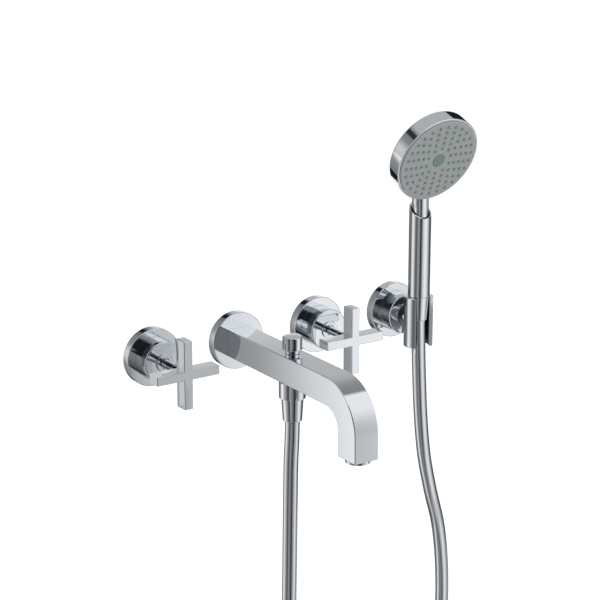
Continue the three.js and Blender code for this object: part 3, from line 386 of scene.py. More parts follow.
def turned(name, profile, place=(0, 0, 0), axis=UP, sides=96, hollow=False):
    """A turned piece, drawn out ring by ring from its (radius, height) profile in millimetres."""
    rings = rounded(profile, hollow)
    if hollow:
        rings.append(rings[0])
    radius, height = rings[0]
    deselect()
    bpy.ops.mesh.primitive_circle_add(
        vertices=sides,
        radius=radius * MM,
        location=(0, 0, height * MM),
        fill_type="NOTHING" if hollow else "NGON",
    )
    piece = named(name)
    bpy.ops.object.mode_set(mode="EDIT")
    pick_all("EDGE")
    for wider, higher in rings[1:]:
        rise = (0, 0, (higher - height) * MM)
        bpy.ops.mesh.extrude_edges_move(TRANSFORM_OT_translate={"value": rise})
        ratio = wider / radius
        bpy.ops.transform.resize(value=(ratio, ratio, 1), center_override=(0, 0, 0))
        radius, height = wider, higher
    if not hollow:
        bpy.ops.mesh.edge_face_add()
    bpy.ops.mesh.select_all(action="SELECT")
    bpy.ops.mesh.remove_doubles(threshold=MERGE_WITHIN)
    bpy.ops.mesh.normals_make_consistent(inside=False)
    bpy.ops.object.mode_set(mode="OBJECT")
    return settle(piece, place, axis)


def block(name, size, place):
    """A box of a size at a place, in millimetres."""
    deselect()
    scale = [length * MM for length in size]
    bpy.ops.mesh.primitive_cube_add(size=1, location=[at * MM for at in place], scale=scale)
    piece = named(name)
    keep_in_mesh()
    return piece


def combine(piece, other, operation):
    """Cuts the other piece away or joins it on, and uses it up."""
    make_active(piece)
    modifier = piece.modifiers.new("combine", "BOOLEAN")
    modifier.operation = operation
    modifier.solver = "EXACT"
    modifier.object = other
    bpy.ops.object.modifier_apply(modifier=modifier.name)
    bpy.data.objects.remove(other)
    return piece


def cut(piece, *tools):
    """Cuts the tools away, one after another."""
    for tool in tools:
        combine(piece, tool, "DIFFERENCE")
    return piece


def smoothed(piece):
    """Round faces shade smoothly, flat ones stay flat and sharp edges stay sharp."""
    make_active(piece)
    bpy.ops.object.shade_smooth_by_angle(angle=SMOOTH_ANGLE)
    weighted = piece.modifiers.new("even shading", "WEIGHTED_NORMAL")
    weighted.keep_sharp = True
    weighted.weight = 100
    bpy.ops.object.modifier_apply(modifier=weighted.name)
    return piece


def moved_copy(piece, name, shift):
    """A copy with its own mesh, moved by a shift in millimetres."""
    made = piece.copy()
    made.data = piece.data.copy()
    made.name = made.data.name = name
    bpy.context.scene.collection.objects.link(made)
    make_active(made)
    made.location = Vector(shift) * MM
    keep_in_mesh()
    return made


def stand_in(piece, node, finish, body="root"):
    """Puts a piece in the place of its solid, in its finish, on the body that carries it."""
    finish.on(piece)
    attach(piece, body)
    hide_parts(node)


def fit(piece, node, finish, body="root", others=()):
    """Smooths a piece and puts it in the place of its solid.

    Copies of a hot side's piece go to other holes, under names that start with the hole's name.
    """
    fitted = {"hot": smoothed(piece)}
    for hole in others:
        shift = (HOLES[hole] - HOLES["hot"], 0, 0)
        fitted[hole] = moved_copy(piece, piece.name.replace("hot", hole), shift)
    for hole, made in fitted.items():
        stand_in(made, node.replace("hot", hole), finish, body.replace("hot", hole))


CHROME = (0.84, 0.875, 0.91)
chrome = Finish("bright chrome", CHROME, 0.04, metallic=1.0)
chrome_haze = chrome.noise(9.0, detail=4.0)
chrome_specks = chrome.noise(900.0, detail=2.0)
chrome.feed({"Roughness": 0.03 + chrome_haze * 0.03 + chrome_specks * 0.012})
chrome.bump(chrome.noise(30.0, detail=1.0), 0.0006 * MM)

hot_flange = turned("hot_flange_cup", FLANGE, HOT_PLACE, OUT_OF_WALL, 128, hollow=True)
fit(hot_flange, "hot_wall_flange", chrome, others=("cold", "holder"))
spout_flange = turned("spout_flange_cup", SQUARE_FLANGE, (0, 0, 0), OUT_OF_WALL, 128)
cut(spout_flange, block("opening", SPOUT_OPENING, (0, -10, 0)))
fit(spout_flange, "spout_wall_flange", chrome)


# Wall seals
# A ring of closed-cell foam inside the rim of each flange. The flange presses it on the wall, and
# it keeps water out of the hole.
SEAL = ((23.2, 0, 0.3), (26.7, 0, 0.3), (26.7, 3, 0.5), (23.2, 3, 0.5))
foam = Finish("closed-cell foam", (0.09, 0.095, 0.10), 0.9)
foam_cells = foam.mottle(1400.0, 3.0, ((0.05, 0.053, 0.057), (0.14, 0.146, 0.154)))
foam.bump(foam_cells, 0.12 * MM)
hot_seal = turned("hot_seal_ring", SEAL, HOT_PLACE, OUT_OF_WALL, 64, hollow=True)
fit(hot_seal, "hot_wall_seal", foam)
for hole in ("cold", "spout", "holder"):
    seal = moved_copy(hot_seal, f"{hole}_seal_ring", (HOLES[hole] - HOLES["hot"], 0, 0))
    stand_in(seal, f"{hole}_wall_seal", foam)


# Sleeves
# A plated brass tube with a closed front, over each valve and over the holder's arm. It covers the
# gap between the wall flange and the moving or fixed arm in front.
SLEEVE = ((7.0, 29.5, 0.2), (21.5, 29.5, 1.2), (21.5, 1, 0.2), (19.5, 1), (19.5, 27), (7.0, 27))
HOLDER_SLEEVE = ((11.3, 29.5, 0.2), *SLEEVE[1:-1], (11.3, 27))
HOLDER_PLACE = (HOLES["holder"], 0, 0)
hot_sleeve = turned("hot_sleeve_shell", SLEEVE, HOT_PLACE, OUT_OF_WALL, 128, hollow=True)
fit(hot_sleeve, "hot_sleeve", chrome, others=("cold",))
holder_sleeve = turned(
    "holder_sleeve_shell", HOLDER_SLEEVE, HOLDER_PLACE, OUT_OF_WALL, 128, hollow=True
)
fit(holder_sleeve, "holder_sleeve", chrome)


# Valve bodies
# Turned brass, screwed into the pipe fitting in the wall. The front nose guides the spindle, and
# the chamber behind holds the two ceramic discs, with an outlet window on each side.
THREAD_PITCH = 1.8
THREAD_DEPTH = 0.7
THREAD_STEPS = ((THREAD_DEPTH, 0.10), (0, 0.45), (0, 0.60), (THREAD_DEPTH, 0.95))


def thread(radius, start, end):
    """The ridges of a male thread as profile points, from one height to another."""
    points = []
    count = max(1, round(abs(end - start) / THREAD_PITCH))
    step = (end - start) / count
    for i in range(count):
        for depth, share in THREAD_STEPS:
            points.append((radius - depth, start + step * i + share * step))
    return points


VALVE_BODY = (
    (3.3, 29.5), (5.3, 29.5, 0.2), (5.3, 26.7), (12, 26.7, 0.3), (12, 14.7, 0.3), (10.5, 14.7),
    (10.5, 0, 0.3), *thread(9, 0, -15.5), (8.4, -16), (7.5, -16), (7.5, -2), (4.0, -2),
    (4.0, 22), (3.3, 22),
)
VALVE_WINDOW = (7, 2.4, 42)
VALVE_WINDOW_AT = 5.1
PLATED_FROM = -0.020
PLATED_TO = -0.025
BRASS = (0.72, 0.50, 0.22)
BRASS_TONES = ((0.60, 0.40, 0.17), (0.80, 0.57, 0.28))
TURNING_LINES = (150, 1400, 150)
brass = Finish("turned brass", BRASS, 0.3, metallic=1.0)
brass.mottle(60.0, 4.0, BRASS_TONES, roughness=(0.22, 0.40))
brass.bump(brass.noise(2.0, detail=2.0, vector=brass.stretched(TURNING_LINES)), 0.02 * MM)
valve_finish = Finish("valve body", BRASS, 0.3, metallic=1.0)
plated = valve_finish.along("Y").rise(PLATED_FROM, PLATED_TO)
valve_patina = valve_finish.noise(60.0, detail=4.0)
raw_brass = valve_finish.tint(valve_patina, *BRASS_TONES)
valve_finish.feed({"Base Color": valve_finish.tint(plated, raw_brass, CHROME)})
valve_finish.feed({"Roughness": 0.30 - plated * 0.25 + valve_patina * 0.05})
hot_valve = turned("hot_valve_turning", VALVE_BODY, HOT_PLACE, OUT_OF_WALL, 64, hollow=True)
cut(hot_valve, block("window", VALVE_WINDOW, (HOLES["hot"], VALVE_WINDOW_AT, 0)))
fit(hot_valve, "hot_valve_body", valve_finish, others=("cold",))


# Clamp rings
# A small plated ring on the nose of each valve. It clips on, and holds the face of the sleeve
# against the valve.
CLAMP_RING = ((5.6, 31, 0.2), (9, 31, 0.6), (9, 29.8, 0.1), (6.7, 29.8), (6.7, 27), (5.6, 27))
hot_ring = turned("hot_ring_clip", CLAMP_RING, HOT_PLACE, OUT_OF_WALL, 64, hollow=True)
fit(hot_ring, "hot_clamp_ring", chrome, others=("cold",))


# Inside the valves
# A brass spindle with a rubber ring, two polished ceramic discs that slide face to face as the
# handle turns, and a rubber seal behind them. All of it stays hidden in use.
rubber = Finish("black rubber", (0.022, 0.022, 0.024), 0.6)
rubber.mottle(700.0, 3.0, ((0.015, 0.015, 0.016), (0.034, 0.034, 0.037)), roughness=(0.5, 0.75))
ceramic = Finish("white ceramic", (0.80, 0.78, 0.72), 0.2)
ceramic.mottle(300.0, 3.0, ((0.74, 0.72, 0.66), (0.84, 0.82, 0.77)), roughness=(0.12, 0.27))
for side in ("hot", "cold"):
    brass.on(SOLIDS[f"{side}_spindle"])
    rubber.on(SOLIDS[f"{side}_spindle_oring"], SOLIDS[f"{side}_seat_seal"])
    ceramic.on(SOLIDS[f"{side}_moving_disc"], SOLIDS[f"{side}_fixed_disc"])


# Cross handles
# Cast brass, plated: four square arms in one piece with a flared stem that slides over the spindle.
# A grub screw under the hub holds it.
HANDLE_FRONT = 77.7
ARM_DEPTH = 15.5
ARM_WIDTH = 9.6
ARM_END = 35
ARM_EDGE = 0.9
STEM = ((4.55, 30), (4.55, 51, 12), (6, 60), (6, 70))
STEM_BORE = (3.3, 29, 65.3)
GRUB_HOLE = (2.1, -9, 0)
HANDLE_GRUB_PLACE = (HOLES["hot"], -53.2, 0)
SHARP_ANGLE = math.radians(30)


def rod(radius, low, high, place, axis=UP, sides=64):
    """A plain round bar between two heights on its axis, to cut with or to join on."""
    return turned("rod", ((radius, low), (radius, high)), place, axis, sides)


def select_sharp_edges(piece):
    """Selects, in edit mode, the outward edges that turn by more than the sharp angle."""
    pick_all("EDGE", "DESELECT")
    mesh = bmesh.from_edit_mesh(piece.data)
    for edge in mesh.edges:
        edge.select_set(len(edge.link_faces) == 2 and edge.calc_face_angle_signed() > SHARP_ANGLE)
    bmesh.update_edit_mesh(piece.data)


def ease_edges(piece, width):
    """Rounds the piece's outward edges over a width in millimetres."""
    make_active(piece)
    bpy.ops.object.mode_set(mode="EDIT")
    select_sharp_edges(piece)
    bpy.ops.mesh.bevel(offset=width * MM, segments=ROUNDING_STEPS, profile=0.5, affect="EDGES")
    bpy.ops.object.mode_set(mode="OBJECT")
    return piece


def pick_faces(piece, wanted):
    """Selects, in edit mode, the faces whose centre and normal pass a test."""
    pick_all("FACE", "DESELECT")
    mesh = bmesh.from_edit_mesh(piece.data)
    for face in mesh.faces:
        face.select_set(wanted(face.calc_center_median(), face.normal))
    bmesh.update_edit_mesh(piece.data)


def cross(name, x):
    """The four arms of a handle, drawn out of a block at the hub."""
    middle = HANDLE_FRONT - ARM_DEPTH / 2
    piece = block(name, (ARM_WIDTH, ARM_DEPTH, ARM_WIDTH), (x, -middle, 0))
    bpy.ops.object.mode_set(mode="EDIT")
    hub = Vector((x, -middle, 0)) * MM
    reach = (ARM_END - ARM_WIDTH / 2) * MM
    for way in (Vector((1, 0, 0)), Vector((-1, 0, 0)), Vector((0, 0, 1)), Vector((0, 0, -1))):
        side = hub + way * ARM_WIDTH / 2 * MM
        pick_faces(piece, lambda centre, normal: (centre - side).length < MM)
        bpy.ops.mesh.extrude_region_move(TRANSFORM_OT_translate={"value": way * reach})
    bpy.ops.object.mode_set(mode="OBJECT")
    return ease_edges(piece, ARM_EDGE)


hot_cross = cross("hot_cross", HOLES["hot"])
combine(hot_cross, turned("stem", STEM, HOT_PLACE, OUT_OF_WALL, 64), "UNION")
cut(hot_cross, rod(*STEM_BORE, HOT_PLACE, OUT_OF_WALL, 48))
cut(hot_cross, rod(*GRUB_HOLE, HANDLE_GRUB_PLACE, sides=32))
fit(hot_cross, "hot_cross_handle", chrome, "hot_handle", others=("cold",))


# Grub screws
# Short stainless steel set screws with a hexagon socket. One points up into each handle, into the
# spout and into the holder's arm, and locks it in place.
SPOUT_GRUB_PLACE = (0, -15, 0)
HOLDER_GRUB_PLACE = (HOLES["holder"], -31.9, 0)
GRUB_SOCKET_DEPTH = 1.2
steel = Finish("stainless steel", (0.56, 0.57, 0.58), 0.35, metallic=1.0)
steel.mottle(200.0, 4.0, ((0.48, 0.49, 0.50), (0.64, 0.65, 0.66)), roughness=(0.25, 0.45))


def grub_screw(name, radius, top, bottom, place):
    """A set screw that points up from its socket, with its ends at two heights."""
    profile = (
        (radius * 0.6, top),
        (radius, top - 0.4 * radius),
        (radius, bottom + 0.2 * radius),
        (radius * 0.8, bottom),
    )
    screw = turned(name, profile, place, sides=32)
    socket = rod(radius * 0.55, bottom - 1, bottom + GRUB_SOCKET_DEPTH, place, sides=6)
    return cut(screw, socket)


hot_grub = grub_screw("hot_grub", 1.8, -3.3, -5.6, HANDLE_GRUB_PLACE)
fit(hot_grub, "hot_handle_screw", steel, "hot_handle", others=("cold",))
spout_grub = grub_screw("spout_grub", 2.2, -10.2, -13.85, SPOUT_GRUB_PLACE)
holder_grub = grub_screw("holder_grub", 1.8, -7.3, -10.6, HOLDER_GRUB_PLACE)
fit(spout_grub, "spout_screw", steel)
fit(holder_grub, "holder_grub_screw", steel)


# Spout
# A plated brass spout drawn from rectangular tube and bent down over a former. It slides over the
# nipple in the wall and carries the diverter on top and the shower outlet below.
SPOUT_SIZE = (27, 28.5)
SPOUT_WALL = 3
SPOUT_BACK = -1
BEND_FROM = -186.5
BEND_CENTRE = -35.8
SPOUT_END = -59.5
SPOUT_REACH = -222.3
SPOUT_EDGE = 0.9
BEND_STEPS = 36
CHANNEL_BACK = -24
CHANNEL_END = -44.5
MOUTH = (0, SPOUT_REACH, 0)
DIVERTER_PLACE = (0, -110, 0)
SPOUT_HOLES = (
    (10.2, -2, 25, (0, 0, 0), OUT_OF_WALL),  # takes the nipple
    (9.0, -48, -43, MOUTH),  # seat of the aerator's washer
    (11.3, -61, -47.5, MOUTH),  # takes the aerator
    (5.5, 5, 16, DIVERTER_PLACE),  # takes the diverter's bush
    (8.3, -16, -5, DIVERTER_PLACE),  # takes the shower outlet
    (2.5, -16, -5, SPOUT_GRUB_PLACE, UP, 32),
)


def bent_bar(name, width, height, back, end):
    """A bar of rectangular section that runs out from the wall and bends down."""
    deselect()
    stood_up = (math.pi / 2, 0, 0)
    bpy.ops.mesh.primitive_plane_add(size=1, location=(0, back * MM, 0), rotation=stood_up)
    piece = named(name)
    piece.scale = (width * MM, height * MM, 1)
    keep_in_mesh()
    bpy.ops.object.mode_set(mode="EDIT")
    pick_all("FACE")
    bpy.ops.mesh.delete(type="ONLY_FACE")
    pick_all("EDGE")
    run = (0, (BEND_FROM - back) * MM, 0)
    bpy.ops.mesh.extrude_edges_move(TRANSFORM_OT_translate={"value": run})
    bpy.ops.mesh.spin(
        steps=BEND_STEPS,
        angle=math.pi / 2,
        center=(0, BEND_FROM * MM, BEND_CENTRE * MM),
        axis=(-1, 0, 0),
    )
    drop = (0, 0, (end - BEND_CENTRE) * MM)
    bpy.ops.mesh.extrude_edges_move(TRANSFORM_OT_translate={"value": drop})
    bpy.ops.mesh.edge_face_add()
    bpy.ops.mesh.select_all(action="SELECT")
    bpy.ops.mesh.remove_doubles(threshold=MERGE_WITHIN)
    pick_all("EDGE", "DESELECT")
    bpy.ops.mesh.select_non_manifold()
    bpy.ops.mesh.edge_face_add()
    bpy.ops.mesh.select_all(action="SELECT")
    bpy.ops.mesh.normals_make_consistent(inside=False)
    bpy.ops.object.mode_set(mode="OBJECT")
    return piece


spout = bent_bar("spout_shell", *SPOUT_SIZE, SPOUT_BACK, SPOUT_END)
ease_edges(spout, SPOUT_EDGE)
channel_size = [size - 2 * SPOUT_WALL for size in SPOUT_SIZE]
cut(spout, bent_bar("channel", *channel_size, CHANNEL_BACK, CHANNEL_END))
for hole in SPOUT_HOLES:
    cut(spout, rod(*hole))
fit(spout, "spout_body", chrome)


# Spout nipple
# A threaded brass tube fixed in the wall. The spout slides over it on a rubber ring and is locked
# by the grub screw below.
NIPPLE = (
    (6.5, 21), (9.9, 21, 0.6), (9.9, 8.2), (8.3, 8.2), (8.3, 6), (9.9, 6), (9.9, 1),
    *thread(9.9, 0.5, -15.5), (9.2, -16), (6.5, -16),
)
nipple = turned("nipple_turning", NIPPLE, (0, 0, 0), OUT_OF_WALL, 64, hollow=True)
fit(nipple, "spout_nipple", brass)
rubber.on(SOLIDS["spout_nipple_oring"])


# Aerator
# A plated housing screwed into the end of the spout, with a rubber washer above and a plastic
# insert that breaks the stream into holes.
AERATOR = (
    (8, -63, 0.3), (12.2, -63, 0.5), (12.2, -59.8, 0.15), (11, -59.8), (11, -49.7), (9, -49.7),
    (9, -61.4), (8, -61.4),
)
INSERT = ((8.7, -49.7), (8.7, -61.1, 0.2), (4, -61.1))
INSERT_HOLE = (1.0, -62, -49)
INSERT_RINGS = ((2.6, 6), (5.2, 12), (7.3, 16))
aerator = turned("aerator_shell", AERATOR, MOUTH, hollow=True)
fit(aerator, "aerator_housing", chrome)
insert = turned("aerator_grid", INSERT, MOUTH, sides=64)
holes = []
for ring_radius, count in INSERT_RINGS:
    for i in range(count):
        angle = 2 * math.pi * i / count
        spot = (ring_radius * math.cos(angle), SPOUT_REACH + ring_radius * math.sin(angle), 0)
        holes.append(rod(*INSERT_HOLE, spot, sides=12))


def merged(pieces, name):
    """Several separate shapes as one object."""
    deselect()
    for piece in pieces:
        piece.select_set(True)
    bpy.context.view_layer.objects.active = pieces[0]
    bpy.ops.object.join()
    return named(name)


cut(insert, merged(holes, "holes"))
white_plastic = Finish("white plastic", (0.72, 0.725, 0.73), 0.42)
WHITES = ((0.68, 0.685, 0.69), (0.76, 0.765, 0.77))
white_plastic.mottle(250.0, 2.0, WHITES, roughness=(0.35, 0.50))
fit(insert, "aerator_insert", white_plastic)
rubber.on(SOLIDS["aerator_seal"])


# Diverter
# A plated knob on a brass rod lifts a rubber disc off the seat of the spout and closes the way to
# the aerator, so that water goes to the shower. The rod runs in a plated bush screwed into the top.
KNOB = (
    (2.8, 30.55), (2.8, 18.55, 0.3), (9.8, 18.55, 0.4), (9.8, 31.7, 1.3), (5.5, 32.45, 3),
    (1.5, 32.75),
)
BUSH = (
    (2.8, 10.05), (5.2, 10.05), (5.2, 14.55), (7, 14.55, 0.15), (7, 18.25, 0.5), (2.8, 18.25, 0.2),
)
knob = turned("diverter_pull", KNOB, DIVERTER_PLACE)
bush = turned("diverter_collar", BUSH, DIVERTER_PLACE, hollow=True)
fit(knob, "diverter_knob", chrome, "diverter_valve")
fit(bush, "diverter_bush", chrome)
rod_low, rod_high = (corner.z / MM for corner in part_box("diverter_rod"))
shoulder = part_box("diverter_disc")[1].z / MM + 0.3
DIVERTER_STEM = (
    (3, rod_low), (3, rod_low + 1.2), (1.8, rod_low + 1.2), (1.8, shoulder),
    (2.5, shoulder, 0.1), (2.5, rod_high, 0.3), (1.2, rod_high),
)
diverter_rod = turned("diverter_stem", DIVERTER_STEM, DIVERTER_PLACE, sides=48)
fit(diverter_rod, "diverter_rod", brass, "diverter_valve")
rubber.on(SOLIDS["diverter_disc"])
brass.on(SOLIDS["diverter_partition"])


# Shower outlet
# A plated collar screwed into the underside of the spout. Its male thread takes the hose nut, and
# a plastic check valve sits inside.
OUTLET = (
    (7, -40.05), (9.3, -40.05), *thread(10, -39.8, -32.2), (9.3, -31.55), (13.5, -31.55, 0.6),
    (13.5, -14.55, 0.25), (8, -14.55), (8, -9.25), (5, -9.25), (5, -21.75), (7, -21.75),
)
outlet = turned("outlet_collar", OUTLET, DIVERTER_PLACE, hollow=True)
fit(outlet, "shower_outlet", chrome)
white_plastic.on(SOLIDS["check_valve"])
rubber.on(SOLIDS["outlet_washer"])


# Hose nut and cone
# Plated brass nuts that trap the flanged tails of the hose: a tapered one under the outlet, and the
# long cone that screws on the hand shower and sits in the holder.
HOSE_NUT = (
    (5.8, -55.35, 0.3), (9.7, -55.35, 0.8), (11.2, -31.85, 0.3), (10.3, -31.85), (10.3, -44.95),
    (5.8, -44.95),
)
CONE = (
    (5.8, 0.5, 0.3), (9.2, 0.5, 0.8), (10.9, 26.5, 0.3), (9.6, 26.5), (9.6, 11.9), (5.8, 11.9),
)
SHOWER_AXIS = (198, -52.5, 0)
hose_nut = turned("hose_nut_turning", HOSE_NUT, DIVERTER_PLACE, hollow=True)
cone = turned("hose_cone_turning", CONE, SHOWER_AXIS, hollow=True)
fit(hose_nut, "hose_nut", chrome)
fit(cone, "hose_cone", chrome, "hand_shower")
steel.on(SOLIDS["hose_nut_tail"], SOLIDS["hose_cone_tail"])
rubber.on(SOLIDS["cone_washer"])


# Shower holder
# A plated arm with an upright cup, slotted in front so that the hose can be lifted out. It slides
# over a steel stud that is fixed to the wall and is locked by a grub screw below.
HOLDER_ARM = ((14, 24), (14, 26.7, 0.3), (11, 26.7, 0.2), (11, 50))
CUP = ((8, -28.5), (15.5, -28.5, 1.2), (15.5, 26.5, 1.2), (8, 26.5))
CUP_BORE = 11.3
SLOT_HALF_ANGLE = math.radians(46)
SLOT_SPREAD = 31
SLOT_HEIGHT = 80
STUD_SOCKET = (7.3, 20, 36)
HOLDER_GRUB_HOLE = (2.1, -12, -5)
# Painted shade: the dark grey given to the inside of the cup's bore stands in for the shade in that
# recess.
PAINTED_BORE_SHADE = (0.28, 0.29, 0.30)
STUD = (
    (4, 35.7), (7, 35.7, 0.6), (7, 4), (17, 4, 0.5), (17, 0, 0.2), (6, 0),
    *thread(6, -0.6, -18.5), (4.6, -20),
)
holder = turned("holder_casting", CUP, SHOWER_AXIS, sides=128)
combine(holder, turned("arm", HOLDER_ARM, HOLDER_PLACE, OUT_OF_WALL), "UNION")
cut(holder, rod(CUP_BORE, -SLOT_HEIGHT / 2, SLOT_HEIGHT / 2, SHOWER_AXIS, sides=128))
slot_width = 2 * SLOT_SPREAD * math.tan(SLOT_HALF_ANGLE)
wedge_place = (SHOWER_AXIS[0], SHOWER_AXIS[1] - SLOT_SPREAD / 2, 0)
wedge = block("slot", (slot_width, SLOT_SPREAD, SLOT_HEIGHT), wedge_place)
bpy.ops.object.mode_set(mode="EDIT")
pick_faces(wedge, lambda centre, normal: normal.y > 0.9)
bpy.ops.transform.resize(value=(0.001, 1, 1), center_override=Vector(SHOWER_AXIS) * MM)
bpy.ops.object.mode_set(mode="OBJECT")
cut(holder, wedge, rod(*STUD_SOCKET, HOLDER_PLACE, OUT_OF_WALL, 48))
cut(holder, rod(*HOLDER_GRUB_HOLE, HOLDER_GRUB_PLACE, sides=32))
holder_chrome = Finish("holder chrome", CHROME, 0.04, metallic=1.0)
from_axis_x = holder_chrome.along("X") - SHOWER_AXIS[0] * MM
from_axis_y = holder_chrome.along("Y") - SHOWER_AXIS[1] * MM
off_axis = (from_axis_x * from_axis_x + from_axis_y * from_axis_y) / (CUP_BORE * MM) ** 2
outside = off_axis.rise(1.02, 1.10)
bore_haze = holder_chrome.noise(80.0, detail=3.0) * 0.1
# Inside the bore the colour turns dark grey, painted shade for the recess; the rougher finish there
# is the bore's own.
holder_chrome.feed({"Base Color": holder_chrome.tint(outside, PAINTED_BORE_SHADE, CHROME)})
holder_chrome.feed({"Roughness": 0.40 + bore_haze - outside * 0.36})
fit(holder, "holder_arm", holder_chrome)
stud = turned("holder_stud_turning", STUD, HOLDER_PLACE, OUT_OF_WALL, 64)
fit(stud, "holder_stud", steel)


# Hand shower grip
# A straight plated tube. Its top is cut on a slant, and the narrower neck of the head comes out of
# it. The thread at the bottom takes the cone of the hose.
GRIP = (
    (6, 16.8), (8.7, 16.8), *thread(9.3, 17.2, 26), (8.7, 26.8), (11.65, 26.8, 0.5),
    (11.65, 140), (10.3, 140), (10.3, 107), (9.1, 107), (9.1, 97.5), (10, 97.5), (10, 30.3),
    (6, 30.3),
)
CUT_HEIGHT = 119.5
CUT_SLOPE = math.radians(31)
WASTE = (60, 90, 60)
grip = turned("shower_tube", GRIP, SHOWER_AXIS, sides=128, hollow=True)
waste = block("waste", WASTE, (0, 0, WASTE[2] / 2))
waste.rotation_euler = (CUT_SLOPE, 0, 0)
waste.location = Vector((*SHOWER_AXIS[:2], CUT_HEIGHT)) * MM
cut(grip, waste)
fit(grip, "shower_grip", chrome, "hand_shower")


# Shower head
# A plated drum, 97 mm across, in one piece with its neck and leaning over the bath. Its back is
# slightly domed with a soft edge, and the front is open for the spray plate.
HEAD_LEAN = math.radians(22.3)
HEAD_BACK = (0, math.cos(HEAD_LEAN), math.sin(HEAD_LEAN))
HEAD_PLACE = (198, -80.5, 178.4)
HEAD_RADIUS = 48.7
HEAD_DEPTH = 17.5
HEAD_EDGE = 3
HEAD_CEILING = 15
HEAD_CROWN = 2
CROWN_STEPS = 8
NECK = (8.8, 101.5, 185)
NECK_CLEARED = (47.6, -60, HEAD_CEILING)
WATERWAY = (5.5, 100, 185)
WATERWAY_CLEARED = (46.5, -60, 4)


def crown():
    """The gentle dome of the back, from its edge to its middle."""
    rim = HEAD_RADIUS - HEAD_EDGE
    points = []
    for i in range(CROWN_STEPS):
        share = 1 - (i + 1) / (CROWN_STEPS + 0.5)
        points.append((rim * share, HEAD_DEPTH + HEAD_CROWN * (1 - share * share)))
    return points


DRUM = (
    (1.8, 11), (1.8, 6.7), (5, 6.7), (5, HEAD_CEILING), (43.7, HEAD_CEILING), (43.7, 4),
    (46.5, 4), (46.5, 0, 0.2), (HEAD_RADIUS, 0, 0.6), (HEAD_RADIUS, HEAD_DEPTH, HEAD_EDGE),
    *crown(),
)


def behind_head(depth):
    """A large block behind a plane parallel to the head's back."""
    waste = block("behind", (200, 200, 200), (0, 0, 100 + depth))
    return settle(waste, HEAD_PLACE, HEAD_BACK)


head = turned("head_drum", DRUM, HEAD_PLACE, HEAD_BACK, sides=160)
neck = rod(*NECK, SHOWER_AXIS, sides=96)
cut(neck, rod(*NECK_CLEARED, HEAD_PLACE, HEAD_BACK, 160), behind_head(HEAD_DEPTH))
combine(head, neck, "UNION")
waterway = rod(*WATERWAY, SHOWER_AXIS)
cut(waterway, rod(*WATERWAY_CLEARED, HEAD_PLACE, HEAD_BACK), behind_head(HEAD_CEILING))
cut(head, waterway)
fit(head, "shower_head_shell", chrome, "hand_shower")


# Spray plate
# A moulded plate of satin grey plastic with five rings of nozzle holes. One screw in the middle
# holds it in the front of the head.
NOZZLE_RINGS = tuple((15 + 6.3 * ring, 10 + 4 * ring) for ring in range(5))
PLATE = (
    (1.8, 0.8), (3.1, 0.8), (3.1, -0.9), (7.3, -0.9), (7.3, -1.8, 0.2), (46.2, -1.8, 0.7),
    (46.2, 1.4, 0.2), (9, 1.4), (9, 6.4), (1.8, 6.4),
)
NOZZLE_HOLE = (1.5, -4, 4)


def around_head(piece, name):
    """Copies a small piece to every nozzle's place, in one object."""
    copies = []
    for ring_radius, count in NOZZLE_RINGS:
        for i in range(count):
            angle = 2 * math.pi * i / count
            spot = (ring_radius * math.sin(angle), ring_radius * math.cos(angle), 0)
            copies.append(moved_copy(piece, name, spot))
    bpy.data.objects.remove(piece)
    return settle(merged(copies, name), HEAD_PLACE, HEAD_BACK)


plate = turned("spray_disc", PLATE, HEAD_PLACE, HEAD_BACK, sides=160, hollow=True)
nozzle_holes = around_head(rod(*NOZZLE_HOLE, (0, 0, 0), sides=16), "nozzle holes")
cut(plate, nozzle_holes)
grey_plastic = Finish("satin grey plastic", (0.30, 0.335, 0.33), 0.38)
PLATE_GREYS = ((0.336, 0.374, 0.37), (0.372, 0.412, 0.408))
grey_plastic.mottle(120.0, 3.0, PLATE_GREYS, roughness=(0.33, 0.41))
grey_plastic.bump(grey_plastic.noise(2500.0, detail=2.0), 0.01 * MM)
fit(plate, "spray_plate", grey_plastic, "hand_shower")


# Nozzle mat
# One sheet of soft grey silicone behind the plate, with 90 nubs through its holes. Each nub has a
# fine bore, and rubbing the nubs clears scale.
MAT = ((9.3, 1.7), (46.2, 1.7, 0.2), (46.2, 3.7, 0.2), (9.3, 3.7))
NUB = ((1.25, 2.0), (1.25, -2.4), (1.0, -3.0, 0.25), (0.35, -3.0), (0.3, -2.2))
grey_rubber = Finish("grey silicone", (0.10, 0.112, 0.11), 0.55)
NUB_GREYS = ((0.21, 0.235, 0.232), (0.27, 0.30, 0.296))
grey_rubber.mottle(900.0, 2.0, NUB_GREYS, roughness=(0.45, 0.65))
mat = turned("nozzle_sheet", MAT, HEAD_PLACE, HEAD_BACK, sides=96, hollow=True)
nubs = around_head(turned("nub", NUB, sides=14), "nubs")
combine(mat, nubs, "UNION")
fit(mat, "nozzle_mat", grey_rubber, "hand_shower")


# Head screw and cap
# A stainless steel screw holds the plate to the boss inside the head. A moulded greenish-grey cap
# snaps in over the screw and hides it.
CAP = ((6.6, -1.2), (7, -1.25, 0.1), (7, -2.3, 0.35), (4, -2.4), (1.5, -2.4))
cap = turned("cap_disc", CAP, HEAD_PLACE, HEAD_BACK, sides=64)
cap_plastic = Finish("cap plastic", (0.155, 0.235, 0.205), 0.3)
CAP_GREENS = ((0.165, 0.235, 0.214), (0.20, 0.275, 0.255))
cap_plastic.mottle(200.0, 2.0, CAP_GREENS, roughness=(0.25, 0.35))
fit(cap, "head_cap", cap_plastic, "hand_shower")
steel.on(SOLIDS["head_screw"])


# Studio
# A pale floor below the hose, a white surround, soft lamps, and grey and black boards that only
# the metal mirrors, as boards round a plated piece do.
FLOOR_HEIGHT = -0.64
FLOOR_SIZE = 24
FLOOR_GLOW = 0.5
SKY_GLOW = 0.55


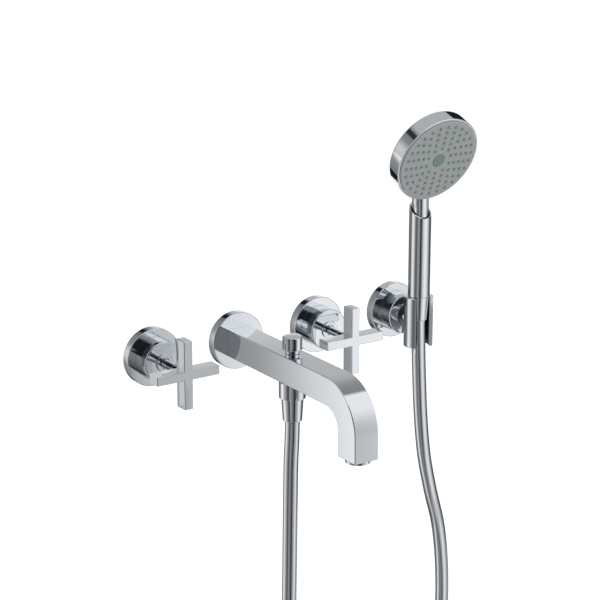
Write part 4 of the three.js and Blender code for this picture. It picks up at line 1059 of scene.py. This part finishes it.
def seen_rays(nodes):
    """1 for rays from the camera and through mirrors or glass, and 0 for the others."""
    kinds = ("Is Camera Ray", "Is Glossy Ray", "Is Transmission Ray")
    return sum(nodes.node("ShaderNodeLightPath", output=kind) for kind in kinds).at_most(1.0)


deselect()
bpy.ops.mesh.primitive_plane_add(size=FLOOR_SIZE, location=(0, 0, FLOOR_HEIGHT))
floor = named("floor")
floor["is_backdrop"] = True
floor_finish = Finish("pale floor", (0.80, 0.80, 0.80), 0.6)
floor_strength = {"Strength": seen_rays(floor_finish) * FLOOR_GLOW}
floor_glow = floor_finish.node("ShaderNodeEmission", floor_strength, output="Emission")
pale = Wire(floor_finish, floor_finish.surface.outputs[0])
floor_finish.show(floor_finish.node("ShaderNodeAddShader", {0: pale, 1: floor_glow}))
floor_finish.on(floor)

world = bpy.data.worlds.new("studio")
world.use_nodes = True
bpy.context.scene.world = world
sky = Nodes(world.node_tree)
sky_strength = seen_rays(sky) * (1 - SKY_GLOW) + SKY_GLOW
sky.connect(sky.tree.nodes["Background"], {"Color": (1, 1, 1, 1), "Strength": sky_strength})


def lamp(name, place, aim, size, power):
    """A soft square lamp that shines at a point and isn't mirrored in the metal."""
    light = bpy.data.lights.new(name, "AREA")
    light.size = size
    light.energy = power
    made = bpy.data.objects.new(name, light)
    made.location = place
    made.rotation_mode = "QUATERNION"
    made.rotation_quaternion = (Vector(place) - Vector(aim)).to_track_quat("Z", "Y")
    made.visible_glossy = False
    bpy.context.scene.collection.objects.link(made)


MIDDLE = (0.05, -0.1, 0.0)
lamp("key", (-1.2, -2.0, 2.2), MIDDLE, 1.6, 28)
lamp("fill", (2.0, -1.4, 1.0), MIDDLE, 1.6, 14)
lamp("back", (0.3, 2.2, 1.6), MIDDLE, 1.6, 14)


def mirrored_only(piece):
    """The piece is seen in the metal, and nowhere else."""
    piece.visible_camera = piece.visible_diffuse = piece.visible_shadow = False
    piece.visible_transmission = piece.visible_volume_scatter = False
    piece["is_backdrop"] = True


COOL_BLACK = (0.0, 0.004, 0.008)


class Glow(Finish):
    """A surface that only gives off light, at a level from 0 to 1 for each point on it."""

    def __init__(self, name):
        super().__init__(name, (0, 0, 0), 1)

    def stretch(self, amount, stops):
        """A ramp whose stops are given in the amount's own units."""
        first, last = stops[0][0], stops[-1][0]
        scaled = [((place - first) / (last - first), level) for place, level in stops]
        share = (amount - first) / (last - first)
        return self.node("ShaderNodeValToRGB", {"Fac": share}, output="Color", stops=scaled)

    def light(self, level, one_sided=False):
        """Lights the surface, or only its front."""
        cooled = self.tint(level, COOL_BLACK, (1, 1, 1))
        lit = self.node("ShaderNodeEmission", {"Color": cooled}, output="Emission")
        if one_sided:
            behind = self.node("ShaderNodeNewGeometry", output="Backfacing")
            clear = self.node("ShaderNodeBsdfTransparent", output="BSDF")
            lit = self.node("ShaderNodeMixShader", {0: behind, 1: lit, 2: clear})
        self.show(lit)


def plain(name, level):
    """A glow of one level."""
    glow = Glow(name)
    glow.light(level)
    return glow


def graded(name, axis, tones, one_sided=False):
    """A glow whose level follows its stops along one axis."""
    glow = Glow(name)
    glow.light(glow.stretch(glow.along(axis), tones), one_sided)
    return glow


# The tent: a wide round wall, toned by the angle round its middle, with a ceiling that a dark band
# crosses.
TENT_CENTRE = (0.05, -0.10)
TENT_RADIUS = 1.3
TENT_FLOOR = FLOOR_HEIGHT + 0.005
TENT_TOP = 0.95
TENT_TONES = (
    (-180, 0.10), (-170, 0.18), (-160, 0.24), (-150, 0.27), (-146, 0.35), (-142, 0.72),
    (-139, 0.90), (-126, 0.98), (-113, 0.66), (-104, 0.45), (-90, 0.29), (-82, 0.18),
    (-76, 0.10), (-67, 0.04), (-63, 0.16), (-57, 0.32), (-48, 0.33), (-40, 0.22), (-24, 0.10),
    (-5, 0.20), (15, 0.40), (60, 0.86), (68, 0.54), (76, 0.26), (84, 0.07), (98, 0.07),
    (128, 0.14), (139, 0.90), (152, 0.76), (160, 0.36), (172, 0.02), (180, 0.10),
)
CEILING_TONES = ((-1.5, 0.92), (-0.425, 0.92), (-0.345, 0.47), (1.3, 0.47))
BAND_PLACE = (-0.47, 0.36)
BAND_ACROSS = (0.803, -0.596)
BAND_TONES = (
    (-0.9, 0.60), (-0.36, 0.52), (-0.21, 0.48), (-0.09, 0.06), (0.09, 0.06), (0.2, 0.70),
    (0.3, 1.0), (2.2, 1.0),
)
deselect()
bpy.ops.mesh.primitive_cylinder_add(
    vertices=96,
    radius=TENT_RADIUS,
    depth=TENT_TOP - TENT_FLOOR,
    location=(*TENT_CENTRE, (TENT_TOP + TENT_FLOOR) / 2),
)
tent = named("tent")
keep_in_mesh()
mirrored_only(tent)
wall = Glow("tent wall")
azimuth = (wall.along("X") - TENT_CENTRE[0]).bearing(TENT_CENTRE[1] - wall.along("Y"))
wall.light(wall.stretch(azimuth * (180 / math.pi), TENT_TONES))
ceiling = Glow("tent ceiling")
across_x = (ceiling.along("X") - BAND_PLACE[0]) * BAND_ACROSS[0]
across_y = (ceiling.along("Y") - BAND_PLACE[1]) * BAND_ACROSS[1]
band = ceiling.stretch(across_x + across_y, BAND_TONES)
ceiling.light(ceiling.stretch(ceiling.along("Y"), CEILING_TONES) * band)
wall.on(tent)
tent.data.materials.append(ceiling.material)
for face in tent.data.polygons:
    if face.center.z > TENT_TOP - 0.01:
        face.material_index = 1


def card(name, corners, finish):
    """A flat board from its four corners, in the order of a plane's own points."""
    deselect()
    bpy.ops.mesh.primitive_plane_add(size=1)
    made = named(name)
    for vertex, corner in zip(made.data.vertices, corners):
        vertex.co = corner
    finish.on(made)
    mirrored_only(made)


def upright(name, left, right, low, high, finish):
    """An upright board between two floor points and two heights."""
    card(name, ((*left, low), (*right, low), (*left, high), (*right, high)), finish)


def lying(name, x, y, height, finish):
    """A level board between two places along x and two along y."""
    card(name, [(across, along, height) for along in y for across in x], finish)


def board(name, left, right, low, high, axis, tones, one_sided=False):
    """An upright board with a glow of its own, graded along one axis."""
    upright(name, left, right, low, high, graded(name, axis, tones, one_sided))


# Large boards: pale ones on the right, behind and on the left for the flat faces and the drum.
LOW = TENT_FLOOR + 0.005
HIGH = TENT_TOP - 0.02
RIGHT_TONES = (
    (0.13, 0.40), (0.158, 0.53), (0.18, 0.57), (0.226, 0.65), (0.25, 0.71), (0.30, 0.80),
    (0.34, 0.88), (0.45, 0.93), (0.58, 0.81), (0.77, 0.61), (0.95, 0.42), (1.10, 0.28),
)
BACK_TONES = (
    (0.12, 0.88), (0.17, 0.80), (0.187, 0.74), (0.2136, 0.60), (0.25, 0.50), (0.40, 0.47),
    (0.95, 0.44),
)
LEFT_TONES = ((0.18, 0.55), (0.42, 0.66), (0.55, 0.60), (0.72, 0.42), (0.85, 0.30), (0.95, 0.24))
right_glow = Glow("right board")
right_across = right_glow.stretch(right_glow.along("X"), RIGHT_TONES)
right_upwards = right_glow.along("Z").rise(-0.06, 0.28)
right_glow.light(right_glow.tint(right_upwards, right_across, (0.9, 0.9, 0.9)))
upright("right board", (0.13, -0.5), (1.10, -0.5), LOW, 0.75, right_glow)
board("back board", (0.22, 0.5), (0.83, 0.5), 0.12, HIGH, "Z", BACK_TONES)
board("left board", (-0.98, 0.60), (-0.70, 0.95), 0.18, HIGH, "Z", LEFT_TONES)

# Level boards: one close over the spout's bend, and one on the floor to the right.
BEND_TONES = (
    (-0.24, 0.26), (-0.2, 0.265), (-0.173, 0.28), (-0.144, 0.325), (-0.112, 0.37),
    (-0.07, 0.45), (-0.025, 0.47),
)
bend_glow = graded("card over the bend", "Y", BEND_TONES, one_sided=True)
lying("card over the bend", (0.145, 0.07), (-0.233, -0.025), 0.15, bend_glow)
lying("grey floor card", (0.3, 1.1), (-1.0, 0.1), LOW, plain("grey floor card", 0.36))

# Black, white and grey boards: they put the dark lines and the edges into the bright metal.
black = graded("black board", "Z", ((-0.64, 0.004), (1.0, 0.012)))
white = plain("white card", 1.0)
grey = plain("grey card", 0.14)
for name, left, right, low, high, finish in (
    ("strip", (-0.185, -0.68), (-0.055, -0.68), LOW, 0.0, black),
    ("dark by the camera", (-0.535, -0.849), (-0.049, -1.045), 0.0, HIGH, black),
    ("dark far left", (-0.80, -0.76), (-0.60, -0.82), 0.05, HIGH, black),
    ("dark between", (-0.60, -0.82), (-0.535, -0.849), 0.22, HIGH, black),
    ("dark right of the back", (0.83, 0.5), (1.17, 0.5), 0.2, HIGH, black),
    ("dark stripe behind", (-0.02, 0.8), (0.185, 0.8), 0.5, HIGH, black),
    ("dark behind the head", (0.138, -0.02), (0.155, -0.02), 0.135, 0.153, black),
    ("white behind the head", (0.159, -0.02), (0.182, -0.02), 0.127, 0.146, white),
    ("grey right of the back", (0.68, 0.49), (0.84, 0.49), 0.06, 0.24, grey),
):
    upright(name, left, right, low, high, finish)

# Small one-sided cards between the pieces: each shields one face from what lies behind the card.
HOLDER_TONES = (
    (-0.098, 0.25), (-0.083, 0.32), (-0.079, 0.30), (-0.075, 0.18), (-0.070, 0.13),
    (-0.064, 0.115), (-0.0605, 0.24), (-0.057, 0.44), (-0.053, 0.64), (-0.049, 0.85),
    (-0.045, 0.92), (-0.041, 0.77), (-0.037, 0.54), (-0.033, 0.38), (-0.029, 0.16),
    (-0.0105, 0.10),
)
SIDE_TONES = (
    (-0.030, 0.25), (-0.018, 0.16), (-0.012, 0.03), (-0.006, 0.04), (-0.001, 0.12),
    (0.003, 0.20), (0.006, 0.13), (0.009, 0.04), (0.011, 0.015), (0.020, 0.012), (0.026, 0.04),
)
FRONT_TONES = ((-0.018, 0.18), (-0.008, 0.10), (-0.003, 0.03), (0.004, 0.012), (0.018, 0.03))
HUB_TONES = ((-0.03, 0.5), (0.05, 0.52))
LEFT_CARD_TONES = ((-0.10, 0.62), (0.03, 0.62))
PAST_BEND_TONES = ((0.07, 0.47), (0.10, 0.46))
hub_glow = graded("light beside the hot hub", "Z", HUB_TONES, one_sided=True)
upright("light beside the hot hub", (-0.083, -0.079), (-0.083, -0.136), -0.0245, 0.05, hub_glow)
upright("light beside the hot arm", (-0.060, -0.0795), (-0.060, -0.122), -0.030, 0.03, hub_glow)
for name, axis, tones, *ends in (
    ("light left of the hot handle", "Z", LEFT_CARD_TONES,
     (-0.156, -0.05), (-0.1135, -0.05), -0.040, 0.032),
    ("card beside the holder", "Y", HOLDER_TONES,
     (0.163, -0.098), (0.163, -0.0105), -0.05, 0.118),
    ("card beside the holder sleeve", "Z", SIDE_TONES,
     (0.1745, -0.030), (0.1745, -0.0105), -0.032, 0.03),
    ("card before the holder sleeve", "Z", FRONT_TONES,
     (0.180, -0.0305), (0.216, -0.0305), -0.018, 0.018),
    ("light past the bend", "Z", PAST_BEND_TONES,
     (0.060, -0.1), (0.102, -0.1), 0.070, 0.102),
):
    board(name, *ends, axis, tones, one_sided=True)

# Graded boards far off: one high on the right, and two in front for the undersides and the drum.
HIGH_RIGHT_TONES = ((-0.12, 0.30), (0.4, 0.45))
GRADED_LOW_TONES = ((-0.06, 0.01), (0.05, 0.06), (0.15, 0.15), (0.40, 0.35))
GRADED_TONES = ((-0.14, 0.02), (-0.09, 0.11), (0.0, 0.20), (0.10, 0.31), (0.20, 0.24))
board("light high on the right", (1.16, -0.45), (1.16, 0.40), -0.12, 0.5, "Z", HIGH_RIGHT_TONES)
board("low graded card", (-0.06, -1.035), (0.40, -1.05), 0.1, 0.45, "X", GRADED_LOW_TONES)
board("graded card", (-0.14, -0.97), (0.20, -1.03), 0.45, HIGH, "X", GRADED_TONES)

# Sectors of a ring round the left and upper side of three flanges, just in front of their rims.
SECTOR_ANGLES = range(-15, 76, 5)
SECTOR_FRONT = -10.15
SECTOR_OUTSIDE = 36.5
SECTOR_TONES = (
    (-0.012, 0.10), (0.0, 0.15), (0.006, 0.14), (0.012, 0.03), (0.026, 0.03), (0.032, 0.20),
)
HOLDER_SECTOR_TONES = (
    (-0.018, 0.05), (-0.010, 0.05), (-0.004, 0.11), (0.0, 0.20), (0.005, 0.12), (0.009, 0.025),
    (0.018, 0.02), (0.024, 0.10), (0.034, 0.30),
)
beside = graded("dark beside a flange", "Z", SECTOR_TONES, one_sided=True)
beside_holder = graded("dark beside the holder flange", "Z", HOLDER_SECTOR_TONES, one_sided=True)
SECTORS = (("hot", 28.8, beside), ("cold", 28.8, beside), ("holder", 21.3, beside_holder))
for hole, inside, finish in SECTORS:
    centre = Vector((HOLES[hole], SECTOR_FRONT, 0)) * MM
    for angles in zip(SECTOR_ANGLES, SECTOR_ANGLES[1:]):
        corners = []
        for radius in (inside, SECTOR_OUTSIDE):
            for turn in map(math.radians, angles):
                spoke = Vector((-math.cos(turn), 0, math.sin(turn)))
                corners.append(centre + spoke * radius * MM)
        card(f"dark beside {hole}", corners, finish)


low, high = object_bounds()
